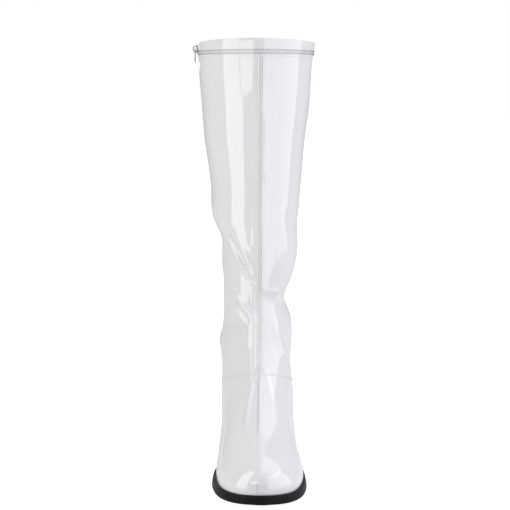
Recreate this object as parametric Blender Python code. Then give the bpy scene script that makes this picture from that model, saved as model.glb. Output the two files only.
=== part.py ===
"""A knee-high go-go boot for the left foot: patent upper, block heel, rubber sole, inner side zip.

Tables and named sizes are in millimetres, and the objects are made in metres. Stations run along the
foot, from the curve of the heel at 0 to the toe tip, and heights are above the floor. The toe points
to -Y. The inner side of the foot, with its zip, lies at -X.
"""

import math

import bmesh
import bpy
import numpy as np

MM = 0.001

# Where the frame's origin lies: on the floor, in the middle of the box round the whole boot.
ORIGIN_ACROSS = -2.6
ORIGIN_STATION = 118.5

# The sole and heel.
TREAD_BACK = 160.0
TREAD_FRONT = 200.0
SOLE_TIP = 246.0
TOE_SPRING = 4.4
BREAST = 56.0
BREAST_RISE = 61.0
SEAT_SLOPE = 0.24
SEAT_EASING = 0.0005
FOREPART_THICKNESS = 8.6
WAIST_THICKNESS = 3.5
WELT_MARGIN = 3.4
WAIST_MARGIN = 0.6
TOP_LIFT_THICKNESS = 6.0
HEEL_INSET = 0.8
HEEL_TAPER_BACK = 4.0
HEEL_TAPER_SIDE = 2.5
HEEL_TAPER_BREAST = 6.0
HEEL_CORNER = 1.5
INSOLE_THICKNESS = 2.5

# The upper.
UPPER_TIP = 243.0
UPPER_BACK = 1.5
WALL = 1.8
HEM_HEIGHT = 18.0
HEM_STEP = 0.6
COLLAR_RISE = 3.5
CORNER_DROP = 3.0
TOE_ROUND = 60.0
TOE_POWER = 2.25
HEEL_ROUND = 34.0
HEEL_POWER = 2.1
FOOT_POWER = 2.0
SHAFT_POWER = 2.05
FEATHER_TUCK = 0.07
TOE_TUCK = 0.02
TUCK_HEIGHT = 14.0
BELLY_RISE = 0.55
SEAM_STEP = 0.5
SEAM_INNER_ANGLE = 0.030
SEAM_OUTER_ANGLE = 0.048

# The zip.
GAP = 0.3
ZIP_SLOT = 8.0
ZIP_BOTTOM_LEVEL = 6.0
ZIP_TOP_DROP = 4.5
TAPE_THICKNESS = 0.8
TAPE_OVERRUN = 0.4
COIL_WIDTH = 5.0
COIL_RISE = 0.5
COIL_START = 0.22
SLIDER_HEIGHT = 418.5
SLIDER_LENGTH = 9.0
SLIDER_WIDTH = 7.4
SLIDER_PLATE = 0.9
BRIDGE_WIDTH = 1.6
BRIDGE_THICKNESS = 0.9
BRIDGE_REACH = 4.0
PULL_BAR = 1.1
PULL_WINDOW = 4.0
PULL_LENGTH = 13.6
PULL_WIDTH = 6.4

# How finely each piece is faceted.
FOOT_RINGS = 25
LEG_RINGS = 17
OUTER_COLUMNS = 23
HEEL_COLUMNS = 10
ZIP_COLUMNS = 12
SOLE_COLUMNS = 64
HEEL_STATIONS = 14


def table(columns, rows):
    """A dictionary of named columns, each an array with one number for each row."""
    return dict(zip(columns.split(), np.array(rows, float).T))


# Half widths of the foot, before the toe and heel are rounded off.
PLAN = table(
    "station inner outer",
    [
        (0, 30.0, 30.0),
        (30, 30.0, 30.5),
        (60, 28.0, 31.0),
        (90, 26.5, 32.0),
        (120, 29.5, 36.0),
        (150, 36.5, 42.0),
        (175, 40.0, 45.0),
        (200, 39.5, 45.5),
        (246, 37.0, 46.0),
    ],
)

# One row for each ring round the boot, from the feather line to the collar: where it meets the front
# of the boot, where it meets the back, and how much of the sole's sag it follows.
RINGS = table(
    "front front_height back back_height sag",
    [
        (243.0, 12.7, 1.5, 76.4, 1.00),
        (242.0, 20.0, -0.8, 82.0, 0.98),
        (237.5, 29.5, -1.0, 88.0, 0.94),
        (228.0, 37.0, -0.4, 93.5, 0.88),
        (212.0, 43.5, 0.8, 99.0, 0.78),
        (191.0, 51.5, 2.6, 105.0, 0.64),
        (169.0, 63.0, 5.0, 112.0, 0.48),
        (149.0, 79.0, 7.8, 120.0, 0.32),
        (133.0, 97.0, 10.8, 129.0, 0.18),
        (121.0, 117.5, 13.6, 140.0, 0.07),
        (113.0, 141.0, 15.8, 154.0, 0.0),
        (108.5, 167.0, 16.6, 172.0, 0.0),
        (106.5, 197.0, 14.8, 199.0, 0.0),
        (106.0, 240.0, 9.6, 240.0, 0.0),
        (107.0, 290.0, 2.6, 289.0, 0.0),
        (108.5, 340.0, -4.2, 338.0, 0.0),
        (109.5, 385.0, -8.2, 382.0, 0.0),
        (109.5, 426.0, -8.6, 424.0, 0.0),
    ],
)

# How far the quarters stand out over the narrow waist of the sole.
BELLY = table(
    "station inner outer",
    [
        (0, 0.0, 0.0),
        (40, 4.0, 3.0),
        (75, 8.6, 5.0),
        (106, 9.8, 5.2),
        (123, 6.8, 2.8),
        (140, 4.2, 1.0),
        (155, 1.4, -0.6),
        (172, 0.0, 0.0),
        (246, 0.0, 0.0),
    ],
)

# Half widths of the leg part as worn, with its drag fold and its pinch above the ankle.
LEG = table(
    "height inner outer",
    [
        (60, 33.0, 33.0),
        (84, 37.2, 36.4),
        (105, 38.6, 36.9),
        (119, 38.4, 37.6),
        (128, 36.4, 37.6),
        (138, 34.4, 36.4),
        (150, 34.1, 32.8),
        (161, 34.2, 29.9),
        (171, 34.1, 31.4),
        (180, 34.2, 34.8),
        (190, 35.4, 38.6),
        (204, 36.2, 42.2),
        (217, 35.9, 43.5),
        (229, 37.9, 43.3),
        (240, 43.0, 42.6),
        (250, 46.2, 43.6),
        (270, 47.2, 45.2),
        (295, 49.2, 47.3),
        (329, 54.1, 50.4),
        (360, 56.1, 54.2),
        (394, 58.8, 56.4),
        (430, 59.9, 60.2),
    ],
)

# Where the zip runs on the inner side, and how far the front seam lies to the outer side.
ZIP_LINE = table("height station", [(60, 84), (90, 77), (130, 67), (180, 60), (260, 54), (430, 50)])
SEAM_LINE = table("level across", [(0, 0.8), (3, 1.0), (7, 2.0), (10, 3.4), (14, 3.9), (17, 4.7)])

# The two heights between which the foot's shape passes into the leg's.
FOOT_TO_LEG = (60.0, 130.0)


def spline(xs, ys):
    """A smooth curve through the points, with no bend at its two ends."""
    count = len(xs)
    gaps = np.diff(xs)
    system = np.eye(count)
    right = np.zeros(count)
    for i in range(1, count - 1):
        system[i, i - 1 : i + 2] = gaps[i - 1], 2 * (gaps[i - 1] + gaps[i]), gaps[i]
        right[i] = 6 * ((ys[i + 1] - ys[i]) / gaps[i] - (ys[i] - ys[i - 1]) / gaps[i - 1])
    bends = np.linalg.solve(system, right)

    def at(x):
        x = np.clip(x, xs[0], xs[-1])
        i = np.clip(np.searchsorted(xs, x) - 1, 0, count - 2)
        low, high, gap = x - xs[i], xs[i + 1] - x, gaps[i]
        cubic = (bends[i] * high**3 + bends[i + 1] * low**3) / (6 * gap)
        start = ys[i] / gap - bends[i] * gap / 6
        end = ys[i + 1] / gap - bends[i + 1] * gap / 6
        return cubic + start * high + end * low

    return at


def step(x, low, high):
    """Rises smoothly from 0 at low to 1 at high."""
    t = np.clip((x - low) / (high - low), 0, 1)
    return t * t * t * (t * (6 * t - 15) + 10)


def rounded(distance, reach, power):
    """Closes an outline off: 0 at its end, and 1 at reach from it."""
    t = np.clip(1 - distance / reach, 0, 1)
    return np.maximum(1 - t**power, 0) ** (1 / power)


def underside(station):
    """Height of the sole's underside: toe spring, flat tread, arch and heel seat."""
    spring = TOE_SPRING * (np.maximum(station - TREAD_FRONT, 0) / (SOLE_TIP - TREAD_FRONT)) ** 2
    span = TREAD_BACK - BREAST
    t = np.clip((TREAD_BACK - station) / span, 0, 1)
    lift = SEAT_SLOPE * span / BREAST_RISE
    arch = BREAST_RISE * (3 * t**2 - 2 * t**3 + lift * (t**3 - t**2))
    behind = np.maximum(BREAST - station, 0)
    return spring + arch + SEAT_SLOPE * behind - SEAT_EASING * behind**2


def sole_thickness(station):
    full = FOREPART_THICKNESS - WAIST_THICKNESS
    return WAIST_THICKNESS + full * step(station, 110, 172)


def feather(station):
    """Height of the upper's lower edge, which stands on the sole."""
    return underside(station) + sole_thickness(station) + GAP


TOP_LEVEL = len(RINGS["front"]) - 1.0
RING_CURVES = {name: spline(np.arange(TOP_LEVEL + 1), column) for name, column in RINGS.items()}
FINE_LEVELS = np.linspace(0, TOP_LEVEL, 3000)
FRONT = RING_CURVES["front"](FINE_LEVELS)
FRONT_HEIGHT = RING_CURVES["front_height"](FINE_LEVELS)
BACK = RING_CURVES["back"](FINE_LEVELS)
BACK_HEIGHT = RING_CURVES["back_height"](FINE_LEVELS)
HEM_LEVEL = float(np.interp(RINGS["front_height"][-1] + COLLAR_RISE - HEM_HEIGHT, FRONT_HEIGHT, FINE_LEVELS))
INNER_PLAN = spline(PLAN["station"], PLAN["inner"])
OUTER_PLAN = spline(PLAN["station"], PLAN["outer"])
INNER_BELLY = spline(BELLY["station"], BELLY["inner"])
OUTER_BELLY = spline(BELLY["station"], BELLY["outer"])
INNER_LEG = spline(LEG["height"], LEG["inner"])
OUTER_LEG = spline(LEG["height"], LEG["outer"])
ZIP_STATION = spline(ZIP_LINE["height"], ZIP_LINE["station"])
SEAM_ACROSS = spline(SEAM_LINE["level"], SEAM_LINE["across"])


def front_of(height):
    return np.interp(height, FRONT_HEIGHT, FRONT)


def back_of(height):
    return np.interp(height, BACK_HEIGHT, BACK)


def ridge_of(station):
    """Height of the boot's top line over a station of the foot."""
    shin = int(np.argmin(FRONT))
    return np.interp(station, FRONT[:shin][::-1], FRONT_HEIGHT[:shin][::-1])


def foot_section(station, height):
    """Middle and half width of the foot at a station and a height."""
    low, high = feather(station), ridge_of(station)
    share = np.clip((height - low) / np.maximum(high - low, 0.01), 0, 1)
    behind = station - back_of(height) * (1 - step(station, 20, 90))
    ends = rounded(UPPER_TIP - station, TOE_ROUND, TOE_POWER) * rounded(behind, HEEL_ROUND, HEEL_POWER)
    drawn_in = FEATHER_TUCK + (TOE_TUCK - FEATHER_TUCK) * step(station, 105, 165)
    tuck = 1 - drawn_in * np.clip(1 - (height - low) / TUCK_HEIGHT, 0, 1) ** 2
    crown = np.maximum(1 - share**FOOT_POWER, 0) ** (1 / FOOT_POWER)
    swell = np.sin(math.pi * share**BELLY_RISE)
    half = (INNER_PLAN(station) + OUTER_PLAN(station)) / 2
    middle = (OUTER_PLAN(station) - INNER_PLAN(station)) / 2
    belly = swell * (INNER_BELLY(station) + OUTER_BELLY(station)) / 2
    shift = swell * (OUTER_BELLY(station) - INNER_BELLY(station)) / 2
    return middle + shift, (half * tuck * crown + belly) * ends


def leg_section(station, height):
    """Middle and half width of the leg part at a station and a height."""
    front, back = front_of(height), back_of(height)
    across = np.clip(2 * (station - back) / (front - back) - 1, -1, 1)
    crown = np.maximum(1 - np.abs(across) ** SHAFT_POWER, 0) ** (1 / SHAFT_POWER)
    half = (INNER_LEG(height) + OUTER_LEG(height)) / 2
    middle = (OUTER_LEG(height) - INNER_LEG(height)) / 2
    return middle, half * crown


def upper_section(station, height):
    """Middle and half width of the whole upper, the foot passing into the leg."""
    foot_middle, foot_half = foot_section(station, height)
    leg_middle, leg_half = leg_section(station, height)
    leg = step(height, *FOOT_TO_LEG)
    return foot_middle + (leg_middle - foot_middle) * leg, foot_half + (leg_half - foot_half) * leg


def ring_point(level, angle):
    """The upper's outer surface. Angle 0 is the front, 90 degrees the outer side, 180 the back."""
    ring = {name: curve(level) for name, curve in RING_CURVES.items()}
    share = (1 + np.cos(angle)) / 2
    station = ring["back"] + share * (ring["front"] - ring["back"])
    height = ring["back_height"] + share * (ring["front_height"] - ring["back_height"])
    foot_station = UPPER_BACK + share * (UPPER_TIP - UPPER_BACK)
    ends = feather(UPPER_BACK), feather(UPPER_TIP)
    sag = feather(foot_station) - (ends[0] + share * (ends[1] - ends[0]))
    height = height + ring["sag"] * sag
    middle, half = upper_section(station, height)
    # Only the hem rises in front, so that its lower edge runs level.
    rise = COLLAR_RISE * step(level, HEM_LEVEL, TOP_LEVEL) * np.clip(np.cos(angle), 0, 1) ** 2
    return np.stack([middle + np.sign(np.sin(angle)) * half, station, height + rise], axis=-1)


def unit(vectors):
    return vectors / np.linalg.norm(vectors, axis=-1, keepdims=True)


def ring_normal(level, angle):
    """The outward direction on the upper's surface."""
    small = 1e-3
    low, high = np.maximum(level - small, 0), np.minimum(level + small, TOP_LEVEL)
    along = ring_point(high, angle) - ring_point(low, angle)
    around = ring_point(level, angle + small) - ring_point(level, angle - small)
    return unit(np.cross(along, around))


def zip_angle(level):
    """The angle at which a ring crosses the zip line, on the inner side."""
    front, back = RING_CURVES["front"](level), RING_CURVES["back"](level)
    height = (RING_CURVES["front_height"](level) + RING_CURVES["back_height"](level)) / 2
    for _ in range(6):
        share = (ZIP_STATION(height) - back) / (front - back)
        angle = 2 * math.pi - np.arccos(2 * share - 1)
        height = ring_point(level, angle)[..., 2]
    return angle


def seam_angle(level):
    """The angle at which a ring crosses the front seam."""
    angles = np.linspace(-0.5, 0.5, 801)
    across = ring_point(np.full_like(angles, level), angles)[:, 0]
    return float(np.interp(SEAM_ACROSS(level), across, angles))


def zip_frame(height):
    """A point on the surface at the zip line, with its outward and upward directions."""
    station = ZIP_STATION(height)
    small = 0.05

    def surface(station, height):
        middle, half = upper_section(station, height)
        return np.stack([middle - half, station, height], axis=-1)

    up = unit(surface(station, height + small) - surface(station, height - small))
    forward = unit(surface(station + small, height) - surface(station - small, height))
    return surface(station, height), unit(np.cross(up, forward)), up


def to_frame(points):
    """From across, station and height in millimetres to the boot's frame in metres."""
    across, station, height = np.moveaxis(np.asarray(points, float), -1, 0)
    return np.stack([across - ORIGIN_ACROSS, ORIGIN_STATION - station, height], axis=-1) * MM


def make_material(name, colour, roughness, metallic=0.0):
    material = bpy.data.materials.new(name)
    material.use_nodes = True
    shader = material.node_tree.nodes["Principled BSDF"]
    shader.inputs["Base Color"].default_value = (*colour, 1)
    shader.inputs["Roughness"].default_value = roughness
    shader.inputs["Metallic"].default_value = metallic
    return material


def make_object(name, vertices, faces, material, smooth=38.0):
    """Adds a mesh object and shades it smooth up to an edge angle in degrees."""
    mesh = bpy.data.meshes.new(name)
    mesh.from_pydata([tuple(v) for v in vertices], [], [tuple(f) for f in faces])
    work = bmesh.new()
    work.from_mesh(mesh)
    bmesh.ops.recalc_face_normals(work, faces=work.faces)
    work.to_mesh(mesh)
    work.free()
    mesh.materials.append(material)
    mesh.shade_smooth()
    mesh.set_sharp_from_angle(angle=math.radians(smooth))
    piece = bpy.data.objects.new(name, mesh)
    bpy.context.scene.collection.objects.link(piece)
    return piece


def tube_faces(rows, columns):
    """Quads between closed loops of points that run row by row."""
    faces = []
    for i in range(rows - 1):
        for j in range(columns):
            k = (j + 1) % columns
            faces.append((i * columns + j, i * columns + k, (i + 1) * columns + k, (i + 1) * columns + j))
    return faces


def ladder_faces(first, columns):
    """Quads that close a loop from side to side, between points of like station."""
    last = first + columns - 1
    return [(first + j, first + j + 1, last - j - 1, last - j) for j in range(columns // 2 - 1)]


def make_slab(name, loops, material):
    """A closed solid from loops, bottom to top, that mirror about the middle of the boot."""
    rows, columns = len(loops), len(loops[0])
    faces = tube_faces(rows, columns) + ladder_faces(0, columns) + ladder_faces((rows - 1) * columns, columns)
    vertices = to_frame(np.concatenate(loops))
    return make_object(name, vertices, faces, material)


def make_bar(name, sections, material):
    """A closed solid from a row of closed sections, each end filled with one face."""
    rows, columns = len(sections), len(sections[0])
    faces = tube_faces(rows, columns)
    faces += [tuple(range(columns)), tuple(range((rows - 1) * columns, rows * columns))]
    return make_object(name, to_frame(np.concatenate(sections)), faces, material)


def half_turn_angles(columns):
    """Angles round an outline that starts beside the toe tip and skips both tips."""
    return (np.arange(columns) + 0.5) * 2 * math.pi / columns


def sole_edge(columns, inset=0.0):
    """The sole's outline: wider than the upper by the welt margin in front, and nearly flush behind."""

    def outline(angle):
        station = UPPER_BACK + (1 + np.cos(angle)) / 2 * (UPPER_TIP - UPPER_BACK)
        ends = rounded(UPPER_TIP - station, TOE_ROUND, TOE_POWER) * rounded(
            station - UPPER_BACK, HEEL_ROUND, HEEL_POWER
        )
        fore = step(station, 105, 165)
        half = (INNER_PLAN(station) + OUTER_PLAN(station)) / 2 * (1 - FEATHER_TUCK * (1 - fore))
        middle = (OUTER_PLAN(station) - INNER_PLAN(station)) / 2
        return np.stack([middle + np.sign(np.sin(angle)) * half * ends, station], axis=-1), fore

    angle = half_turn_angles(columns)
    edge, fore = outline(angle)
    ahead = outline(angle + 1e-3)[0] - outline(angle - 1e-3)[0]
    outward = unit(np.stack([-ahead[:, 1], ahead[:, 0]], axis=-1))
    margin = WAIST_MARGIN + (WELT_MARGIN - WAIST_MARGIN) * fore - inset
    return edge + outward * margin[:, None]


def upper_levels():
    """The rings that the upper's wall and the zip behind it share."""
    foot = np.linspace(0, 10, FOOT_RINGS, endpoint=False)
    leg = np.linspace(10, HEM_LEVEL, LEG_RINGS)
    return np.concatenate([foot, leg, [HEM_LEVEL + 0.01, TOP_LEVEL]])


def zip_half_angle(level, width):
    depth = RING_CURVES["front"](level) - RING_CURVES["back"](level)
    return width / depth / np.abs(np.sin(zip_angle(level)))


def column_angles(level):
    """Angles round one ring, in which a pair lies at the seam's edges and a pair at the zip slot's."""
    seam, middle = seam_angle(level), float(zip_angle(level))
    half = zip_half_angle(level, ZIP_SLOT)
    ridge = [seam + a for a in (-SEAM_OUTER_ANGLE, -SEAM_INNER_ANGLE, SEAM_INNER_ANGLE, SEAM_OUTER_ANGLE)]
    outer_side = np.linspace(ridge[-1], math.pi, OUTER_COLUMNS)[1:]
    heel_side = np.linspace(math.pi, middle - half, HEEL_COLUMNS)[1:]
    toe_side = np.linspace(middle + half, 2 * math.pi + ridge[0], ZIP_COLUMNS)[:-1]
    return np.concatenate([ridge, outer_side, heel_side, toe_side])


def upper_grid(levels):
    """Surface points and outward directions, ring by ring, and the column just behind the zip slot."""
    angle = np.array([column_angles(level) for level in levels])
    level = np.repeat(levels[:, None], angle.shape[1], axis=1)
    return ring_point(level, angle), ring_normal(level, angle), OUTER_COLUMNS + HEEL_COLUMNS + 1


def build_upper(material):
    """One hollow wall, open at the collar, underneath and along the zip, with its hem as a step."""
    levels = upper_levels()
    zip_ring = int(np.argmin(np.abs(levels - ZIP_BOTTOM_LEVEL)))
    surface, normal, slot = upper_grid(levels)
    ring_count, column_count = surface.shape[:2]

    out = np.zeros((ring_count, column_count))
    out[-2:] = HEM_STEP
    out[:-2, 1:3] = SEAM_STEP * step(levels[:-2], 0.5, 2.0)[:, None]
    outer = surface + normal * out[..., None]
    inner = surface - normal * WALL
    # The lower rim lies flat, and clears the sole where that bulges between two columns.
    station, rim = surface[0, :, 1], surface[0, :, 2]
    bulge = feather((station + np.roll(station, -1)) / 2) - (rim + np.roll(rim, -1)) / 2
    rim = rim + np.maximum(np.maximum(bulge, np.roll(bulge, 1)), 0)
    outer[0, :, 2] = rim
    inner[0, :, 2] = np.maximum(inner[0, :, 2], rim)
    for corner in (slot, slot + 1):
        outer[-1, corner, 2] -= CORNER_DROP
        inner[-1, corner, 2] -= CORNER_DROP
    vertices = to_frame(np.concatenate([outer.reshape(-1, 3), inner.reshape(-1, 3)]))

    skin = ring_count * column_count
    walls = []
    for i in range(ring_count - 1):
        for j in range(column_count):
            a, b = i * column_count + j, i * column_count + (j + 1) % column_count
            c, d = b + column_count, a + column_count
            if i >= zip_ring and j == slot:
                walls += [(a, d, skin + d, skin + a), (b, c, skin + c, skin + b)]
            else:
                walls += [(a, b, c, d), (skin + a, skin + b, skin + c, skin + d)]
    for ring, columns in ((0, "all"), (zip_ring, "slot"), (ring_count - 1, "rest")):
        for j in range(column_count):
            if columns == "all" or (columns == "slot") == (j == slot):
                a, b = ring * column_count + j, ring * column_count + (j + 1) % column_count
                walls.append((a, b, skin + b, skin + a))
    return make_object("upper", vertices, walls, material)


def build_outsole(material):
    """The rubber sole: a bevelled tread edge, a wall that slopes in, and a flat margin round the upper."""
    loops = []
    for inset, share in ((1.2, 0.0), (0.2, 0.12), (0.0, 0.22), (1.0, 0.88), (1.6, 1.0)):
        edge = sole_edge(SOLE_COLUMNS, inset)
        height = underside(edge[:, 1]) + share * sole_thickness(edge[:, 1])
        loops.append(np.column_stack([edge, height]))
    return make_slab("outsole", loops, material)


def build_insole(material):
    """The sock inside: it lies on the sole and fills the upper's inner outline."""
    loops = []
    angle = half_turn_angles(SOLE_COLUMNS)
    outline = ring_point(np.zeros_like(angle), angle)[:, :2]
    ahead = np.roll(outline, -1, axis=0) - np.roll(outline, 1, axis=0)
    outward = unit(np.stack([-ahead[:, 1], ahead[:, 0]], axis=-1))
    for inset, rise in ((0.1, 0.0), (0.5, 0.7), (1.1, 1.0)):
        edge = outline - outward * (WALL + 2 * GAP + inset)
        loops.append(np.column_stack([edge, feather(edge[:, 1]) + rise * INSOLE_THICKNESS]))
    return make_slab("insole", loops, material)


def heel_loop(drop):
    """The block heel's outline at a share of its drop, from the seat at 0 to the floor at 1."""
    front = BREAST - HEEL_TAPER_BREAST * drop**0.7
    back = UPPER_BACK + HEEL_INSET + HEEL_TAPER_BACK * drop
    corner = front - HEEL_CORNER
    turn = np.linspace(math.pi / 2, math.pi, HEEL_STATIONS)
    station = np.maximum(corner + (corner - back) * np.cos(turn), back + 0.15)
    station = np.concatenate([[front], station])
    half = 0.5 * (INNER_PLAN(station) + OUTER_PLAN(station)) * (1 - FEATHER_TUCK) + WAIST_MARGIN
    half = (half - HEEL_INSET - HEEL_TAPER_SIDE * drop) * rounded(station - back, HEEL_ROUND, HEEL_POWER)
    half[0] -= HEEL_CORNER
    middle = 0.5 * (OUTER_PLAN(station) - INNER_PLAN(station))
    outer = np.column_stack([middle + half, station])
    inner = np.column_stack([middle - half, station])
    return np.concatenate([outer, inner[::-1]])


def build_heel(material):
    """The wrapped block, from the top lift to the seat under the sole."""
    floor = TOP_LIFT_THICKNESS + GAP
    loops = []
    for rise in (0.0, 0.06, 0.3, 0.6, 0.85, 1.0):
        edge = heel_loop(1 - rise)
        top = underside(edge[:, 1]) - GAP
        loops.append(np.column_stack([edge, floor + rise * (top - floor)]))
    return make_slab("heel_block", loops, material)


def build_top_lift(material):
    """The rubber tip that the heel stands on."""
    loops = []
    for height, inset in ((0.0, 0.8), (0.8, 0.0), (TOP_LIFT_THICKNESS, 0.0)):
        edge = heel_loop(1.0)
        middle = edge.mean(axis=0)
        edge = middle + (edge - middle) * (1 - inset / 28)
        loops.append(np.column_stack([edge, np.full(len(edge), height)]))
    return make_slab("top_lift", loops, material)


def zip_levels(bottom):
    """The upper's rings from a bottom level to just below the collar."""
    levels = upper_levels()
    inside = levels[(levels > bottom + 0.01) & (levels < HEM_LEVEL)]
    top = TOP_LEVEL - ZIP_TOP_DROP / (RINGS["front_height"][-1] - RINGS["front_height"][-2])
    return np.concatenate([[bottom], inside, [top]])


def build_zip_tape(material):
    """The woven tape behind the slot, which closes it and carries the coil."""
    surface, normal, slot = upper_grid(zip_levels(ZIP_BOTTOM_LEVEL - TAPE_OVERRUN))
    columns = slice(slot - 1, slot + 3)
    face, inward = surface[:, columns], normal[:, columns]
    outer = face - inward * (WALL + GAP)
    inner = face - inward * (WALL + GAP + TAPE_THICKNESS)
    return make_bar("zip_tape", np.concatenate([outer, inner[:, ::-1]], axis=1), material)


def build_zip_coil(material):
    """The closed row of teeth, a low rounded bar in the slot."""
    levels = zip_levels(ZIP_BOTTOM_LEVEL + COIL_START)
    middle = zip_angle(levels)
    section = []
    for aside, depth in ((-0.5, WALL), (-0.5, 0.6), (-0.3, -COIL_RISE), (0.3, -COIL_RISE), (0.5, 0.6), (0.5, WALL)):
        angle = middle + zip_half_angle(levels, 2 * COIL_WIDTH) * aside
        section.append(ring_point(levels, angle) - ring_normal(levels, angle) * depth)
    return make_bar("zip_coil", np.stack(section, axis=1), material)


def slider_frame():
    """The slider's middle on the surface, with its forward, outward and up directions."""
    point, outward, up = zip_frame(SLIDER_HEIGHT)
    return point, unit(np.cross(outward, up)), outward, up


def pivot_depth():
    """How far the pull's axis stands off the surface: it lies halfway up the space under the bridge."""
    return COIL_RISE + GAP + SLIDER_PLATE + (BRIDGE_REACH - BRIDGE_THICKNESS) / 2


def build_zip_slider(material):
    """A saddle over the teeth, wider at its top, with the bridge that holds the pull."""
    point, forward, outward, up = slider_frame()
    under = COIL_RISE + GAP
    top = under + SLIDER_PLATE
    half, arm = SLIDER_WIDTH / 2, COIL_WIDTH / 2 + GAP
    saddle = [(-half, -0.9), (-arm, -0.9), (-arm, under - 0.5), (-arm * 0.6, under), (arm * 0.6, under)]
    saddle += [(arm, under - 0.5), (arm, -0.9), (half, -0.9), (half, top - 0.5), (half - 0.5, top)]
    saddle += [(-half + 0.5, top), (-half, top - 0.5)]
    sections = []
    for along, spread in ((-0.5, 0.84), (-0.42, 0.9), (0.1, 1.0), (0.42, 1.0), (0.5, 0.94)):
        section = []
        for aside, out in saddle:
            wide = aside if abs(aside) <= arm else aside * max(spread, (arm + 0.35) / half)
            section.append(point + forward * wide + outward * out + up * along * SLIDER_LENGTH)
        sections.append(section)
    body = make_bar("zip_slider", np.array(sections), material)

    foot, reach, inner = top - 0.3, top + BRIDGE_REACH, BRIDGE_THICKNESS
    half_length = SLIDER_LENGTH * 0.36
    arch = [(-half_length, foot), (-half_length * 0.8, reach - 0.8), (-half_length * 0.45, reach)]
    arch += [(half_length * 0.45, reach), (half_length * 0.8, reach - 0.8), (half_length, foot)]
    inside = [(along * (1 - inner / half_length), min(out, reach - inner)) for along, out in arch]
    strips = []
    for side in (-BRIDGE_WIDTH / 2, BRIDGE_WIDTH / 2):
        for along, out in arch + inside:
            strips.append(point + forward * side + outward * out + up * along)
    count = len(arch)
    faces = []
    for i in range(count - 1):
        a, b, c, d = i, i + 1, count + i + 1, count + i
        far = 2 * count
        faces += [(a, b, c, d), (far + a, far + b, far + c, far + d)]
        faces += [(a, b, far + b, far + a), (d, c, far + c, far + d)]
    for a, b in ((0, count), (count - 1, 2 * count - 1)):
        faces.append((a, b, 2 * count + b, 2 * count + a))
    bridge = make_object("bridge", to_frame(np.array(strips)), faces, material)
    bridge.hide_render = True
    bridge.display_type = "WIRE"
    joined = body.modifiers.new("bridge", "BOOLEAN")
    joined.operation = "UNION"
    joined.solver = "EXACT"
    joined.object = bridge
    return body


def build_zip_pull(material):
    """The tab that hangs from the bridge: a bar across the top, a window and a flat grip."""
    point, _, outward, _ = slider_frame()
    pivot = to_frame(point + outward * pivot_depth())
    half = PULL_WIDTH / 2
    bar = PULL_BAR / 2
    outline = [(-half, bar), (half, bar), (half, -PULL_LENGTH * 0.55), (half * 0.8, -PULL_LENGTH + bar)]
    outline += [(-half * 0.8, -PULL_LENGTH + bar), (-half, -PULL_LENGTH * 0.55)]
    gap = BRIDGE_WIDTH / 2 + 0.5
    window = [(-gap, -bar), (gap, -bar), (gap, -bar - PULL_WINDOW), (-gap, -bar - PULL_WINDOW)]
    vertices, faces = [], []
    for x in (-bar * 0.9, bar * 0.9):
        vertices += [(x * MM, y * MM, z * MM) for y, z in outline + window]
    ring = len(outline)
    # The flat faces between the outline and the window, going round once on each side.
    spans = [(0, 1, 7, 6), (1, 2, 8, 7), (2, 3, 8), (3, 4, 9, 8), (4, 5, 9), (5, 0, 6, 9)]
    far = ring + len(window)
    for span in spans:
        faces += [span, tuple(far + i for i in span)]
    for i in range(ring):
        j = (i + 1) % ring
        faces.append((i, j, far + j, far + i))
    for i in range(4):
        j = (i + 1) % 4
        faces.append((ring + i, ring + j, far + ring + j, far + ring + i))
    pull = make_object("zip_pull", vertices, faces, material)
    pull.location = pivot
    return pull


def main():
    for existing in list(bpy.data.objects):
        bpy.data.objects.remove(existing)
    patent = make_material("white_patent", (0.80, 0.80, 0.81), 0.12)
    wrap = make_material("white_heel_wrap", (0.78, 0.78, 0.79), 0.16)
    rubber = make_material("black_sole_rubber", (0.02, 0.02, 0.02), 0.5)
    tip_rubber = make_material("black_tip_rubber", (0.025, 0.025, 0.025), 0.6)
    sock = make_material("cream_sock", (0.62, 0.56, 0.47), 0.7)
    tape = make_material("white_zip_tape", (0.76, 0.76, 0.76), 0.8)
    teeth = make_material("white_zip_teeth", (0.80, 0.80, 0.80), 0.4)
    metal = make_material("zip_metal", (0.60, 0.60, 0.60), 0.25, 1.0)
    build_upper(patent)
    build_outsole(rubber)
    build_insole(sock)
    build_heel(wrap)
    build_top_lift(tip_rubber)
    build_zip_tape(tape)
    build_zip_coil(teeth)
    build_zip_slider(metal)
    build_zip_pull(metal)


main()
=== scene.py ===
"""Looks of a knee-high go-go boot for the left foot: patent upper, block heel, rubber sole, side zip.

Tables and named sizes are in millimetres and repeat the solid model's, and meshes are made in metres.
Stations run from the heel at 0 to the toe tip, heights are above the floor, the toe points to -Y and
the inner side of the foot, with its zip, lies at -X.
"""
import math

import bpy
import numpy as np
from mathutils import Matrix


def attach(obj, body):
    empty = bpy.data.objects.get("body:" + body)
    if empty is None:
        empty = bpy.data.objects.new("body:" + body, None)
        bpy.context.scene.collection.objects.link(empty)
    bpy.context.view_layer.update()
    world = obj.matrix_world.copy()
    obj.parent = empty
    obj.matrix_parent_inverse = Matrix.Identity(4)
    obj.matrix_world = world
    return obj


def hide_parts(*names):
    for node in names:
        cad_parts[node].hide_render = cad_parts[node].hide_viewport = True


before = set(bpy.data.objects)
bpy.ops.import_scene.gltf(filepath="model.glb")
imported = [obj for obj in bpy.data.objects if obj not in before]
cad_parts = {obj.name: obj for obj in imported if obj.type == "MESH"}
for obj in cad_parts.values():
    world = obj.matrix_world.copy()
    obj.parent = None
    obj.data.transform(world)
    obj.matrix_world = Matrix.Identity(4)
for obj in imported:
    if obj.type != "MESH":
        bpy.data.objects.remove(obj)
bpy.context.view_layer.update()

MM = 0.001

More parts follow.
